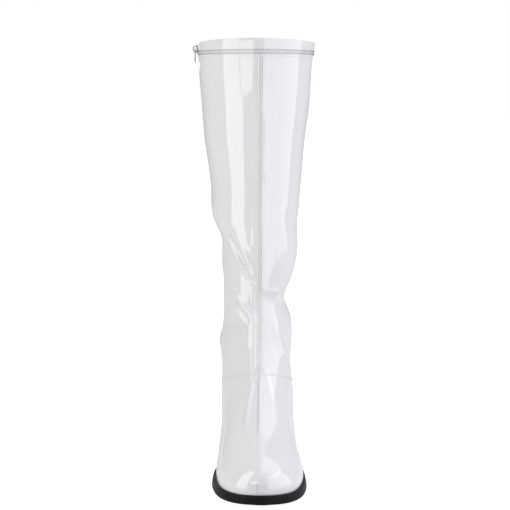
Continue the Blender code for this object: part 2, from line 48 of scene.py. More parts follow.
# The studio. A camera stands a metre in front of the toe at collar height and looks down a little. Tall
# soft lights stand in front and at both sides, one hangs beside the boot and one lights its back. The
# floor is pale, and the room is white where the camera looks past the boot.

CAMERA_PLACE = (0.0011, -1.1275, 0.416)
CAMERA_DOWN = math.radians(10.06)
CAMERA_LENS = 80.96

camera_data = bpy.data.cameras.new("camera")
camera_data.lens = CAMERA_LENS
camera_data.sensor_width = 36.0
camera = bpy.data.objects.new("camera", camera_data)
camera.location = CAMERA_PLACE
camera.rotation_euler = (math.pi / 2 - CAMERA_DOWN, 0, 0)
bpy.context.scene.collection.objects.link(camera)
bpy.context.scene.camera = camera
bpy.context.scene.view_settings.view_transform = "Standard"


class Value:
    """A shader number. An operator on it adds the Math node that does the sum."""

    def __init__(self, finish, socket):
        self.finish = finish
        self.socket = socket

    def sum(self, operation, other):
        node = self.finish.node("ShaderNodeMath", {"operation": operation}, {0: self, 1: other})
        return Value(self.finish, node.outputs[0])

    def __add__(self, other):
        return self.sum("ADD", other)

    def __mul__(self, other):
        return self.sum("MULTIPLY", other)

    __radd__ = __add__
    __rmul__ = __mul__


class Finish:
    """One material as it is mixed: its shader's sockets are set by name and nodes are added to it."""

    def __init__(self, name, colour, **sockets):
        self.material = bpy.data.materials.new(name)
        self.material.use_nodes = True
        self.tree = self.material.node_tree
        self.shader = self.tree.nodes["Principled BSDF"]
        self.put(self.shader, {"Base Color": (*colour, 1)})
        for socket, value in sockets.items():
            self.put(self.shader, {socket.replace("_", " ").title().replace("Ior", "IOR"): value})

    def put(self, node, sockets):
        for name, value in sockets.items():
            value = value.socket if isinstance(value, Value) else value
            if isinstance(value, bpy.types.NodeSocket):
                self.tree.links.new(value, node.inputs[name])
            else:
                node.inputs[name].default_value = value

    def node(self, kind, settings=None, sockets=None):
        node = self.tree.nodes.new(kind)
        for name, value in (settings or {}).items():
            setattr(node, name, value)
        self.put(node, sockets or {})
        return node

    def place(self, scale=(1, 1, 1)):
        """Coordinates on the piece in metres, times a scale."""
        coordinates = self.node("ShaderNodeTexCoord").outputs["Object"]
        sockets = {"Vector": coordinates, "Scale": scale}
        return self.node("ShaderNodeMapping", sockets=sockets).outputs[0]

    def noise(self, scale, detail=2.0, where=None):
        sockets = {"Vector": where or self.place(), "Scale": scale, "Detail": detail}
        return Value(self, self.node("ShaderNodeTexNoise", sockets=sockets).outputs[0])

    def wave(self, scale, direction, distortion=0.0):
        settings = {"wave_type": "BANDS", "bands_direction": direction}
        sockets = {"Vector": self.place(), "Scale": scale, "Distortion": distortion}
        return Value(self, self.node("ShaderNodeTexWave", settings, sockets).outputs[1])

    def mixed(self, share, first, second):
        """The colour between two colours, or colour sockets, at a share from 0 to 1."""
        ends = [(*colour, 1) if isinstance(colour, tuple) else colour for colour in (first, second)]
        sockets = {0: share, 6: ends[0], 7: ends[1]}
        return self.node("ShaderNodeMix", {"data_type": "RGBA"}, sockets).outputs[2]

    def relief(self, height, depth):
        """Raises the surface where height is 1 by a depth in millimetres."""
        sockets = {"Height": height, "Distance": depth * MM, "Strength": 1.0}
        normal = self.node("ShaderNodeBump", sockets=sockets).outputs[0]
        self.put(self.shader, {"Normal": normal})

    def clouded(self, share, dark, light):
        """Colours the surface between two colours, or two greys, by a share from 0 to 1."""
        dark, light = (colour if isinstance(colour, tuple) else (colour,) * 3 for colour in (dark, light))
        self.put(self.shader, {"Base Color": self.mixed(share, dark, light)})

    def roughness(self, value):
        self.put(self.shader, {"Roughness": value})

    def dress(self, piece):
        piece.data.materials.clear()
        piece.data.materials.append(self.material)


# The floor's glow as the camera sees it, near the boot and away from it, and what it gives off.
FLOOR_SIZE = 12.0
FLOOR_SEEN = (0.92, 1.0)
FLOOR_LIGHT = 0.19
FLOOR_NEAR = (0.20, 0.60)
FLOOR_BELOW = 0.0003

# The air's colour in front of the boot, to its two sides and overhead.
FRONT_AIR = (0.14, 0.14, 0.14)
LEFT_AIR = (0.52, 0.52, 0.505)
RIGHT_AIR = (0.58, 0.57, 0.66)
UPPER_AIR = (0.54, 0.54, 0.56)


def camera_sees(tree):
    """1 where the camera looks straight at a surface, and 0 for all other light."""
    return tree.nodes.new("ShaderNodeLightPath").outputs["Is Camera Ray"]


bpy.ops.object.select_all(action="DESELECT")
bpy.ops.mesh.primitive_plane_add(size=FLOOR_SIZE, location=(0, 0, -FLOOR_BELOW))
floor = bpy.context.object
floor.name = "floor"
pale = Finish("pale_floor", (0.62, 0.62, 0.62), roughness=0.9)
from_boot = pale.node("ShaderNodeVectorMath", {"operation": "LENGTH"}, {0: pale.place()}).outputs[1]
near, far = FLOOR_NEAR
distance_sockets = {"Value": from_boot, "From Min": near, "From Max": far}
distance = Value(pale, pale.node("ShaderNodeMapRange", None, distance_sockets).outputs[0])
seen_glow = distance * (FLOOR_SEEN[1] - FLOOR_SEEN[0]) + (FLOOR_SEEN[0] - FLOOR_LIGHT)
glow = Value(pale, camera_sees(pale.tree)) * seen_glow + FLOOR_LIGHT
pale.put(pale.shader, {"Emission Color": pale.mixed(glow, (0, 0, 0), (1, 1, 1)), "Emission Strength": 1.0})
pale.dress(floor)


class Air(Finish):
    """The room's air, which is mixed in the world's own nodes."""

    def __init__(self, world):
        world.use_nodes = True
        self.tree = world.node_tree


world = bpy.data.worlds.new("studio")
bpy.context.scene.world = world
air = Air(world)
direction = air.node("ShaderNodeTexCoord").outputs["Generated"]
ways = air.node("ShaderNodeSeparateXYZ", None, {0: direction}).outputs
sideways = air.node("ShaderNodeMapRange", None, {"Value": ways[0], "From Min": -0.7, "From Max": 0.7})
upwards = air.node("ShaderNodeMapRange", None, {"Value": ways[2], "From Min": 0.1, "From Max": 0.9})
backwards = air.node("ShaderNodeMapRange", None, {"Value": ways[1], "From Min": -0.95, "From Max": -0.25})
side_air = air.mixed(sideways.outputs[0], LEFT_AIR, RIGHT_AIR)
level_air = air.mixed(backwards.outputs[0], FRONT_AIR, side_air)
all_air = air.mixed(upwards.outputs[0], level_air, UPPER_AIR)
shown = air.mixed(camera_sees(air.tree), all_air, (1, 1, 1))
air.put(air.tree.nodes["Background"], {"Color": shown})


def soft_light(name, place, aim, size, glow, colour, lights=True):
    """A rectangular soft light at a place in metres, turned to face a point, as bright as glow."""
    data = bpy.data.lights.new(name, "AREA")
    data.shape = "RECTANGLE"
    data.size, data.size_y = size
    data.energy = glow * math.pi * size[0] * size[1]
    data.color = colour
    light = bpy.data.objects.new(name, data)
    light.location = place
    away = np.array(place) - np.array(aim)
    turn = math.atan2(away[0], -away[1])
    lean = math.atan2(away[2], math.hypot(away[0], away[1]))
    light.rotation_euler = (math.pi / 2 - lean, 0, turn)
    light.visible_diffuse = lights
    light.visible_camera = False
    bpy.context.scene.collection.objects.link(light)


left_white, right_white = (1.0, 1.0, 0.99), (0.94, 0.93, 1.0)
soft_light("left_light", (-0.374, -0.298, 0.45), (-0.005, 0.04, 0.45), (0.318, 0.90), 1.9, left_white)
soft_light("front_light", (-0.28, -0.90, 0.40), (0, 0.01, 0.40), (0.42, 0.18), 2.0, left_white, False)
soft_light("right_front_light", (0.40, -0.63, 0.45), (0, 0.06, 0.45), (0.43, 0.90), 1.5, right_white, False)
soft_light("right_light", (0.94, -0.28, 0.60), (0, 0.06, 0.60), (0.93, 1.20), 1.5, right_white)
soft_light("top_light", (0.62, -0.05, 1.10), (0.62, -0.06, 0.0), (1.15, 1.10), 1.1, (0.98, 0.98, 1.0))
soft_light("back_light", (-0.2, 1.6, 0.9), (0, 0, 0.25), (1.4, 1.2), 0.6, (1.0, 1.0, 1.0))


# The upper: a stretch patent foot and shaft, cut in two halves that meet at the front and the back,
# with a vamp over the foot. It is lasted, so its lower edge is tucked in under the foot and stuck to
# the sole. It creases softly over the instep and above the ankle.

ORIGIN_ACROSS = -2.6
ORIGIN_STATION = 118.5
TREAD_BACK = 160.0
TREAD_FRONT = 200.0
SOLE_TIP = 246.0
TOE_SPRING = 4.4
BREAST = 56.0
BREAST_RISE = 61.0
SEAT_SLOPE = 0.24
SEAT_EASING = 0.0005
FOREPART_THICKNESS = 8.6
WAIST_THICKNESS = 3.5
UPPER_TIP = 243.0
UPPER_BACK = 1.5
RIM_GAP = 0.05
HEM_HEIGHT = 18.0
COLLAR_RISE = 3.5
TOE_ROUND = 60.0
TOE_POWER = 2.25
HEEL_ROUND = 34.0
HEEL_POWER = 2.1
FOOT_POWER = 2.0
SHAFT_POWER = 2.05
FEATHER_TUCK = 0.07
TOE_TUCK = 0.02
TUCK_HEIGHT = 14.0
BELLY_RISE = 0.55
ZIP_SLOT = 8.0
ZIP_BOTTOM_LEVEL = 6.0
SLOT_CLOSING = 0.10
SKIN = 0.9
UPPER_COLUMNS = 182
UPPER_ROWS = 266
UPPER_TOP_DROP = 8.0
FOOT_TO_LEG = (60.0, 130.0)
TUCK_FADE = (105.0, 165.0)
CREASE_FADE = (0.02, 0.35)


def table(columns, rows):
    """A dictionary of named columns, each an array with one number for each row."""
    return dict(zip(columns.split(), np.array(rows, float).T))


# Half widths of the foot, before the toe and heel are rounded off.
PLAN = table("station inner outer", [
    (0, 30.0, 30.0),
    (30, 30.0, 30.5),
    (60, 28.0, 31.0),
    (90, 26.5, 32.0),
    (120, 29.5, 36.0),
    (150, 36.5, 42.0),
    (175, 40.0, 45.0),
    (200, 39.5, 45.5),
    (246, 37.0, 46.0),
])

# One row for each ring round the boot: where it meets the front and the back, and its share of the sag.
RINGS = table("front front_height back back_height sag", [
    (243.0, 12.7, 1.5, 76.4, 1.00),
    (242.0, 20.0, -0.8, 82.0, 0.98),
    (237.5, 29.5, -1.0, 88.0, 0.94),
    (228.0, 37.0, -0.4, 93.5, 0.88),
    (212.0, 43.5, 0.8, 99.0, 0.78),
    (191.0, 51.5, 2.6, 105.0, 0.64),
    (169.0, 63.0, 5.0, 112.0, 0.48),
    (149.0, 79.0, 7.8, 120.0, 0.32),
    (133.0, 97.0, 10.8, 129.0, 0.18),
    (121.0, 117.5, 13.6, 140.0, 0.07),
    (113.0, 141.0, 15.8, 154.0, 0.0),
    (108.5, 167.0, 16.6, 172.0, 0.0),
    (106.5, 197.0, 14.8, 199.0, 0.0),
    (106.0, 240.0, 9.6, 240.0, 0.0),
    (107.0, 290.0, 2.6, 289.0, 0.0),
    (108.5, 340.0, -4.2, 338.0, 0.0),
    (109.5, 385.0, -8.2, 382.0, 0.0),
    (109.5, 426.0, -8.6, 424.0, 0.0),
])

# How far the quarters stand out over the narrow waist of the sole.
BELLY = table("station inner outer", [
    (0, 0.0, 0.0),
    (40, 4.0, 3.0),
    (75, 8.6, 5.0),
    (106, 9.8, 5.2),
    (123, 6.8, 2.8),
    (140, 4.2, 1.0),
    (155, 1.4, -0.6),
    (172, 0.0, 0.0),
    (246, 0.0, 0.0),
])

# Half widths of the leg part as worn, with its drag fold and its pinch above the ankle.
LEG = table("height inner outer", [
    (60, 33.0, 33.0),
    (84, 37.2, 36.4),
    (105, 38.6, 36.9),
    (119, 38.4, 37.6),
    (128, 36.4, 37.6),
    (138, 34.4, 36.4),
    (150, 34.1, 32.8),
    (161, 34.2, 29.9),
    (171, 34.1, 31.4),
    (180, 34.2, 34.8),
    (190, 35.4, 38.6),
    (204, 36.2, 42.2),
    (217, 35.9, 43.5),
    (229, 37.9, 43.3),
    (240, 43.0, 42.6),
    (250, 46.2, 43.6),
    (270, 47.2, 45.2),
    (295, 49.2, 47.3),
    (329, 54.1, 50.4),
    (360, 56.1, 54.2),
    (394, 58.8, 56.4),
    (430, 59.9, 60.2),
])

# Where the zip runs on the inner side, and how far the front seam lies to the outer side.
ZIP_LINE = table("height station", [(60, 84), (90, 77), (130, 67), (180, 60), (260, 54), (430, 50)])
SEAM_LINE = table("level across", [(0, 0.8), (3, 1.0), (7, 2.0), (10, 3.4), (14, 3.9), (17, 4.7)])

# The creases, each along a line from one point to another. On the front they are placed by across and
# height, and on the two sides by station and height. A negative depth is a trough.
CREASES = table("side along1 height1 along2 height2 width depth", [
    (0, -33, 232, -5, 185, 1.7, 1.35),
    (0, -27, 230, -7, 196, 2.4, -1.25),
    (0, -20, 232, -8, 205, 2.6, 0.8),
    (0, -3.6, 186, -3.4, 124, 1.8, 0.55),
    (0, -29, 186, -22, 172, 1.8, 1.05),
    (0, -26, 178, -21, 164, 2.2, -0.5),
    (0, -20, 169, -6, 153, 2.2, 1.25),
    (0, -21, 162, -9, 147, 2.4, -0.95),
    (0, -20, 138, -20, 100, 9.0, -1.6),
    (0, -4.3, 148, -4.0, 96, 5.0, 1.3),
    (0, 6, 178, 20, 174, 3.4, 0.45),
    (0, 20, 174, 34, 192, 3.0, 0.8),
    (0, 7.8, 178, 7.6, 146, 1.6, 0.50),
    (0, 21, 136, 28, 113, 2.2, 0.8),
    (0, 14, 138, 21, 112, 2.8, -0.6),
    (0, -5.8, 119, -4.4, 90, 1.4, 0.45),
    (0, -4.6, 88, -11, 58, 2.0, 1.3),
    (0, -12, 374, -11, 262, 4.6, 0.60),
    (0, -6.6, 300, -6.2, 226, 2.2, -0.60),
    (0, -24, 270, -27, 240, 4.0, 0.5),
    (0, 13, 400, 11, 352, 3.6, -0.50),
    (0, 9.5, 356, 10, 324, 2.6, 0.40),
    (0, 15, 350, 13, 300, 3.6, -0.5),
    (0, 9, 318, 12, 276, 2.8, 0.35),
    (0, 17, 292, 14, 246, 4.0, -0.5),
    (0, 24, 262, 32, 216, 4.0, 0.6),
    (0, 12, 240, 14, 205, 3.4, -0.4),
    (1, 40, 150, 84, 128, 7.0, 0.7),
    (1, 34, 138, 78, 118, 6.0, -0.6),
    (1, 30, 186, 70, 172, 9.0, 0.6),
    (1, 84, 214, 60, 190, 6.0, -0.5),
    (2, 40, 152, 88, 132, 7.0, 0.8),
    (2, 34, 168, 84, 156, 7.0, -0.6),
    (2, 30, 190, 80, 178, 9.0, 0.6),
    (2, 50, 232, 84, 214, 8.0, -0.5),
])


def spline(xs, ys):
    """A smooth curve through the points, with no bend at its two ends."""
    count = len(xs)
    gaps = np.diff(xs)
    system = np.eye(count)
    right = np.zeros(count)
    for i in range(1, count - 1):
        system[i, i - 1 : i + 2] = gaps[i - 1], 2 * (gaps[i - 1] + gaps[i]), gaps[i]
        right[i] = 6 * ((ys[i + 1] - ys[i]) / gaps[i] - (ys[i] - ys[i - 1]) / gaps[i - 1])
    bends = np.linalg.solve(system, right)

    def at(x):
        x = np.clip(x, xs[0], xs[-1])
        i = np.clip(np.searchsorted(xs, x) - 1, 0, count - 2)
        low, high, gap = x - xs[i], xs[i + 1] - x, gaps[i]
        cubic = (bends[i] * high**3 + bends[i + 1] * low**3) / (6 * gap)
        start = ys[i] / gap - bends[i] * gap / 6
        end = ys[i + 1] / gap - bends[i + 1] * gap / 6
        return cubic + start * high + end * low

    return at


def step(x, low, high):
    """Rises smoothly from 0 at low to 1 at high."""
    t = np.clip((x - low) / (high - low), 0, 1)
    return t * t * t * (t * (6 * t - 15) + 10)


def rounded(distance, reach, power):
    """Closes an outline off: 0 at its end, and 1 at reach from it."""
    t = np.clip(1 - distance / reach, 0, 1)
    return np.maximum(1 - t**power, 0) ** (1 / power)


def underside(station):
    """Height of the sole's underside: toe spring, flat tread, arch and heel seat."""
    spring = TOE_SPRING * (np.maximum(station - TREAD_FRONT, 0) / (SOLE_TIP - TREAD_FRONT)) ** 2
    span = TREAD_BACK - BREAST
    t = np.clip((TREAD_BACK - station) / span, 0, 1)
    lift = SEAT_SLOPE * span / BREAST_RISE
    arch = BREAST_RISE * (3 * t**2 - 2 * t**3 + lift * (t**3 - t**2))
    behind = np.maximum(BREAST - station, 0)
    return spring + arch + SEAT_SLOPE * behind - SEAT_EASING * behind**2


def sole_thickness(station):
    full = FOREPART_THICKNESS - WAIST_THICKNESS
    return WAIST_THICKNESS + full * step(station, 110, 172)


def feather(station):
    """Height of the upper's lower edge, which stands on the sole."""
    return underside(station) + sole_thickness(station) + RIM_GAP


def between_sides(widths):
    """From a table of inner and outer widths, the middle and the half width at any place."""
    places, *both = widths.values()
    inner, outer = (spline(places, side) for side in both)

    def at(place):
        return (outer(place) - inner(place)) / 2, (inner(place) + outer(place)) / 2

    return at


plan_at, belly_at, leg_at = (between_sides(widths) for widths in (PLAN, BELLY, LEG))
zip_station = spline(*ZIP_LINE.values())
seam_across = spline(*SEAM_LINE.values())
TOP_LEVEL = len(RINGS["front"]) - 1.0
RING_CURVES = {name: spline(np.arange(TOP_LEVEL + 1), column) for name, column in RINGS.items()}
FINE_LEVELS = np.linspace(0, TOP_LEVEL, 3000)
FRONT = RING_CURVES["front"](FINE_LEVELS)
FRONT_HEIGHT = RING_CURVES["front_height"](FINE_LEVELS)
BACK = RING_CURVES["back"](FINE_LEVELS)
BACK_HEIGHT = RING_CURVES["back_height"](FINE_LEVELS)
COLLAR_HEIGHT = RINGS["front_height"][-1]
HEM_LEVEL = float(np.interp(COLLAR_HEIGHT + COLLAR_RISE - HEM_HEIGHT, FRONT_HEIGHT, FINE_LEVELS))


def front_of(height):
    return np.interp(height, FRONT_HEIGHT, FRONT)


def back_of(height):
    return np.interp(height, BACK_HEIGHT, BACK)


def ridge_of(station):
    """Height of the boot's top line over a station of the foot."""
    shin = int(np.argmin(FRONT))
    return np.interp(station, FRONT[:shin][::-1], FRONT_HEIGHT[:shin][::-1])


def foot_section(station, height):
    """Middle and half width of the foot at a station and a height."""
    low, high = feather(station), ridge_of(station)
    share = np.clip((height - low) / np.maximum(high - low, 0.01), 0, 1)
    behind = station - back_of(height) * (1 - step(station, 20, 90))
    ends = rounded(UPPER_TIP - station, TOE_ROUND, TOE_POWER) * rounded(behind, HEEL_ROUND, HEEL_POWER)
    drawn_in = FEATHER_TUCK + (TOE_TUCK - FEATHER_TUCK) * step(station, *TUCK_FADE)
    tuck = 1 - drawn_in * np.clip(1 - (height - low) / TUCK_HEIGHT, 0, 1) ** 2
    crown = np.maximum(1 - share**FOOT_POWER, 0) ** (1 / FOOT_POWER)
    swell = np.sin(math.pi * share**BELLY_RISE)
    middle, half = plan_at(station)
    shift, belly = belly_at(station)
    return middle + swell * shift, (half * tuck * crown + swell * belly) * ends


def leg_section(station, height):
    """Middle and half width of the leg part at a station and a height."""
    front, back = front_of(height), back_of(height)
    across = np.clip(2 * (station - back) / (front - back) - 1, -1, 1)
    crown = np.maximum(1 - np.abs(across) ** SHAFT_POWER, 0) ** (1 / SHAFT_POWER)
    middle, half = leg_at(height)
    return middle, half * crown


def upper_section(station, height):
    """Middle and half width of the whole upper, the foot passing into the leg."""
    foot_middle, foot_half = foot_section(station, height)
    leg_middle, leg_half = leg_section(station, height)
    leg = step(height, *FOOT_TO_LEG)
    return foot_middle + (leg_middle - foot_middle) * leg, foot_half + (leg_half - foot_half) * leg


def ring_point(level, angle):
    """The last's surface. Angle 0 is the front, 90 degrees the outer side, 180 the back."""
    ring = {name: curve(level) for name, curve in RING_CURVES.items()}
    share = (1 + np.cos(angle)) / 2
    station = ring["back"] + share * (ring["front"] - ring["back"])
    height = ring["back_height"] + share * (ring["front_height"] - ring["back_height"])
    foot_station = UPPER_BACK + share * (UPPER_TIP - UPPER_BACK)
    ends = feather(UPPER_BACK), feather(UPPER_TIP)
    sag = feather(foot_station) - (ends[0] + share * (ends[1] - ends[0]))
    height = height + ring["sag"] * sag
    middle, half = upper_section(station, height)
    # Only the hem rises in front, so that its lower edge runs level.
    rise = COLLAR_RISE * step(level, HEM_LEVEL, TOP_LEVEL) * np.clip(np.cos(angle), 0, 1) ** 2
    return np.stack([middle + np.sign(np.sin(angle)) * half, station, height + rise], axis=-1)


def unit(vectors):
    return vectors / np.linalg.norm(vectors, axis=-1, keepdims=True)


def ring_normal(level, angle):
    """The outward direction on the last's surface."""
    small = 1e-3
    low, high = np.maximum(level - small, 0), np.minimum(level + small, TOP_LEVEL)
    along = ring_point(high, angle) - ring_point(low, angle)
    around = ring_point(level, angle + small) - ring_point(level, angle - small)
    return unit(np.cross(along, around))


def zip_angle(level):
    """The angle at which a ring crosses the zip line, on the inner side."""
    front, back = RING_CURVES["front"](level), RING_CURVES["back"](level)
    height = (RING_CURVES["front_height"](level) + RING_CURVES["back_height"](level)) / 2
    for _ in range(6):
        share = (zip_station(height) - back) / (front - back)
        angle = 2 * math.pi - np.arccos(np.clip(2 * share - 1, -1, 1))
        height = ring_point(level, angle)[..., 2]
    return angle


def zip_half_angle(level, width):
    depth = RING_CURVES["front"](level) - RING_CURVES["back"](level)
    return width / depth / np.abs(np.sin(zip_angle(level)))


RING_STEPS = np.hypot(np.diff(FRONT), np.diff(FRONT_HEIGHT)) + np.hypot(np.diff(BACK), np.diff(BACK_HEIGHT))
RING_RUN = np.concatenate([[0], np.cumsum(RING_STEPS)])


def level_at(share):
    """The level at a share of the way up the upper's wall, so that rings lie evenly."""
    return np.interp(share * RING_RUN[-1], RING_RUN, FINE_LEVELS)


def level_of_height(height):
    return np.interp(height, FRONT_HEIGHT, FINE_LEVELS)


def creased(points, normals):
    """How far the creases lift the surface at each point, in millimetres."""
    lift = np.zeros(points.shape[:-1])
    facing = {0: normals[..., 1], 1: -normals[..., 0], 2: normals[..., 0]}
    for i in range(len(CREASES["side"])):
        side, a, ah, b, bh, width, depth = (column[i] for column in CREASES.values())
        spot = np.stack([points[..., 0 if side == 0 else 1], points[..., 2]], axis=-1)
        start, run = np.array([a, ah]), np.array([b - a, bh - ah])
        share = np.clip(((spot - start) @ run) / (run @ run), 0, 1)
        away = np.linalg.norm(spot - start - share[..., None] * run, axis=-1)
        fade = step(facing[int(side)], *CREASE_FADE)
        lift += depth * np.exp(-((away / width) ** 2)) * fade
    return lift


def skin_point(level, angle, lift=0.0):
    """A point on the patent's surface with its creases, and lifted along its normal."""
    points, normals = ring_point(level, angle), ring_normal(level, angle)
    return points + normals * (creased(points, normals) + lift)[..., None]


def to_frame(points):
    """From across, station and height in millimetres to the boot's frame in metres."""
    across, station, height = np.moveaxis(np.asarray(points, float), -1, 0)
    return np.stack([across - ORIGIN_ACROSS, ORIGIN_STATION - station, height], axis=-1) * MM


def laid_grid(name, points):
    """Adds a grid and lays it on an array of points, row by row, in millimetres."""
    rows, columns = points.shape[:2]
    bpy.ops.object.select_all(action="DESELECT")
    bpy.ops.mesh.primitive_grid_add(x_subdivisions=columns - 1, y_subdivisions=rows - 1, size=2)
    piece = bpy.context.object
    piece.name = piece.data.name = name
    piece.data.vertices.foreach_set("co", to_frame(points).astype(np.float32).ravel())
    piece.data.update()
    return piece


def shares(rows, columns):
    """Shares from 0 to 1, up and across, for each point of a grid."""
    return np.meshgrid(np.linspace(0, 1, rows), np.linspace(0, 1, columns), indexing="ij")


def closer_in_front(across):
    """Shares round a ring from the zip slot, with three quarters of them on the front half."""
    return np.interp(across, (0, 0.75, 1), (0, 0.5, 1))


def select(*pieces):
    """Selects these pieces alone, and makes the first of them the active one."""
    bpy.ops.object.select_all(action="DESELECT")
    for piece in pieces:
        piece.select_set(True)
    bpy.context.view_layer.objects.active = pieces[0]


def merge_and_face_out(piece, gap=0.02):
    """Closes the seams where edges meet and turns every face outwards."""
    select(piece)
    bpy.ops.object.mode_set(mode="EDIT")
    bpy.ops.mesh.select_all(action="SELECT")
    bpy.ops.mesh.remove_doubles(threshold=gap * MM)
    bpy.ops.mesh.normals_make_consistent(inside=False)
    bpy.ops.object.mode_set(mode="OBJECT")


def finish_with(piece, kind, **settings):
    """Adds a modifier with its settings and applies it."""
    select(piece)
    modifier = piece.modifiers.new(kind.lower(), kind)
    for name, value in settings.items():
        setattr(modifier, name, value)
    bpy.ops.object.modifier_apply(modifier=modifier.name)


def shade(piece, degrees=40.0):
    """Shades the piece smooth, apart from its edges that are sharper than an angle."""
    select(piece)
    bpy.ops.object.shade_smooth_by_angle(angle=math.radians(degrees))


def round_from_slot(level, share, slot=ZIP_SLOT):
    """The angle at a share of the way round a ring, from the zip slot's front edge to its back edge."""
    opening = np.sqrt(np.clip((level - ZIP_BOTTOM_LEVEL) / SLOT_CLOSING, 0, 1))
    half = zip_half_angle(level, slot) * opening
    return zip_angle(level) + half + share * (2 * math.pi - 2 * half)


patent = Finish("white_patent", (0.76, 0.76, 0.76), roughness=0.05, coat_weight=1.0, coat_roughness=0.012)
cloud = patent.noise(14.0, 3.0)
patent.clouded(cloud, (0.745, 0.745, 0.737), (0.78, 0.78, 0.786))
patent.roughness(patent.noise(36.0, 4.0) * 0.05 + 0.02)
drag = patent.noise(42.0, 2.0, patent.place((1, 1, 0.4)))
patent.relief(drag + patent.noise(420.0, 2.0) * 0.03, 0.40)

# The hem covers the patent's last few millimetres.
up, across = shares(UPPER_ROWS, UPPER_COLUMNS)
top_share = level_of_height(COLLAR_HEIGHT - UPPER_TOP_DROP) / TOP_LEVEL
levels = level_at(up) * top_share
upper = laid_grid("upper", skin_point(levels, round_from_slot(levels, closer_in_front(across))))
merge_and_face_out(upper)
finish_with(upper, "SOLIDIFY", thickness=SKIN * MM, offset=-1)
shade(upper, 50)
patent.dress(upper)
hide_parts("upper")
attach(upper, "boot")


# The lining: a thin knitted cloth in cream, glued to the back of the patent before the halves are sewn.
# It shows inside the shaft and stops short of the zip's slot.

LINING_DEPTH = 1.1
LINING_THICKNESS = 0.6
LINING_TOP_DROP = 6.0
LINING_SLOT = 11.0
LINING_ROWS = 130
LINING_COLUMNS = 96

knit = Finish("cream_knit", (0.70, 0.67, 0.61), roughness=0.85)
courses = knit.wave(260.0, "Z")
knit.clouded(knit.noise(30.0, 3.0), (0.66, 0.63, 0.57), (0.74, 0.71, 0.65))
knit.relief(courses * 0.6 + knit.noise(900.0) * 0.4, 0.08)

up, across = shares(LINING_ROWS, LINING_COLUMNS)
levels = level_at(up) * (level_of_height(COLLAR_HEIGHT - LINING_TOP_DROP) / TOP_LEVEL)
inside = skin_point(levels, round_from_slot(levels, across, LINING_SLOT), -LINING_DEPTH)
lining = laid_grid("lining", inside)
merge_and_face_out(lining)
finish_with(lining, "SOLIDIFY", thickness=LINING_THICKNESS * MM, offset=-1)
shade(lining, 50)
knit.dress(lining)
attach(lining, "boot")


# The hem: the top edge of the patent, turned over to the inside and sewn down. It stands a little
# proud of the shaft and drops in a round corner at each side of the zip.

HEM_COLUMNS = 200
HEM_FOLD_ROWS = 48
CORNER_DROP = 3.0
CORNER_SHARE = 0.020
HEM_FOLD = table("share rise lift", [
    (0.00, 0.00, -0.1),
    (0.04, 0.00, 0.45),
    (0.10, 0.03, 0.62),
    (0.30, 0.30, 0.60),
    (0.52, 0.75, 0.66),
    (0.62, 0.95, 0.60),
    (0.66, 0.99, 0.30),
    (0.70, 1.00, -0.50),
    (0.74, 0.99, -1.40),
    (0.79, 0.94, -1.75),
    (1.00, 0.10, -1.80),
])

up, across = shares(HEM_FOLD_ROWS, HEM_COLUMNS)
rise = np.interp(up, HEM_FOLD["share"], HEM_FOLD["rise"])
levels = HEM_LEVEL + rise * (TOP_LEVEL - HEM_LEVEL)
lift = np.interp(up, HEM_FOLD["share"], HEM_FOLD["lift"])
fold = skin_point(levels, round_from_slot(levels, across), lift)
corner = np.clip(1 - np.minimum(across, 1 - across) / CORNER_SHARE, 0, 1)
fold[..., 2] -= CORNER_DROP * (1 - np.sqrt(1 - corner**2)) * rise
hem = laid_grid("hem", fold)
shade(hem, 60)
patent.dress(hem)
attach(hem, "boot")


# The front seam: the two halves of the shaft meet under a narrow strip of the same patent that is sewn
# down along both its edges. It runs from the hem to the vamp, and a finer closed seam goes on from
# there over the toe.

SEAM_WIDTH = 6.4
SEAM_RISE = 0.5
TOE_SEAM_WIDTH = 1.6
TOE_SEAM_RISE = 0.28
TOE_SEAM_END = 0.15
VAMP_LEVEL = 8.07


def angle_across(level, across):
    """The angle at which one ring crosses places across the front."""
    turns = np.linspace(-0.9, 0.9, 361)
    return np.interp(across, ring_point(np.full_like(turns, level), turns)[:, 0], turns)


def strip_along_seam(name, bottom, top, width, rise, rows, columns=17):
    """A low rounded strip over the front seam between two levels."""
    levels = np.linspace(bottom, top, rows)
    aside = np.linspace(-1, 1, columns)
    angles = np.array([angle_across(level, seam_across(level) + aside * width / 2) for level in levels])
    lift = np.broadcast_to(rise * (1 - 1.25 * aside**12), angles.shape)
    rings = np.broadcast_to(levels[:, None], angles.shape)
    return laid_grid(name, skin_point(rings, angles, lift))


strip_ends = VAMP_LEVEL - 0.05, HEM_LEVEL + 0.02
front_seam = strip_along_seam("front_seam", *strip_ends, SEAM_WIDTH, SEAM_RISE, 320)
shade(front_seam, 60)
patent.dress(front_seam)
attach(front_seam, "boot")

toe_ends = TOE_SEAM_END, VAMP_LEVEL
toe_seam = strip_along_seam("toe_seam", *toe_ends, TOE_SEAM_WIDTH, TOE_SEAM_RISE, 160, 7)
shade(toe_seam, 60)
patent.dress(toe_seam)
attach(toe_seam, "boot")


# The back seam: the two halves of patent meet again down the back. They are sewn edge to edge from the
# inside and rubbed flat, so that only a fine raised line shows from the counter to the hem.

BACK_SEAM_HALF = 1.1
BACK_SEAM_RISE = 0.3
BACK_SEAM_START = 0.3
BACK_ROUND = 35.0

up, across = shares(260, 7)
aside = 2 * across - 1
rings = BACK_SEAM_START + up * (HEM_LEVEL - BACK_SEAM_START)
angles = math.pi + aside * BACK_SEAM_HALF / BACK_ROUND
lift = BACK_SEAM_RISE * (1 - 1.4 * aside**6)
back_seam = laid_grid("back_seam", skin_point(rings, angles, lift))
shade(back_seam, 60)
patent.dress(back_seam)
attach(back_seam, "boot")


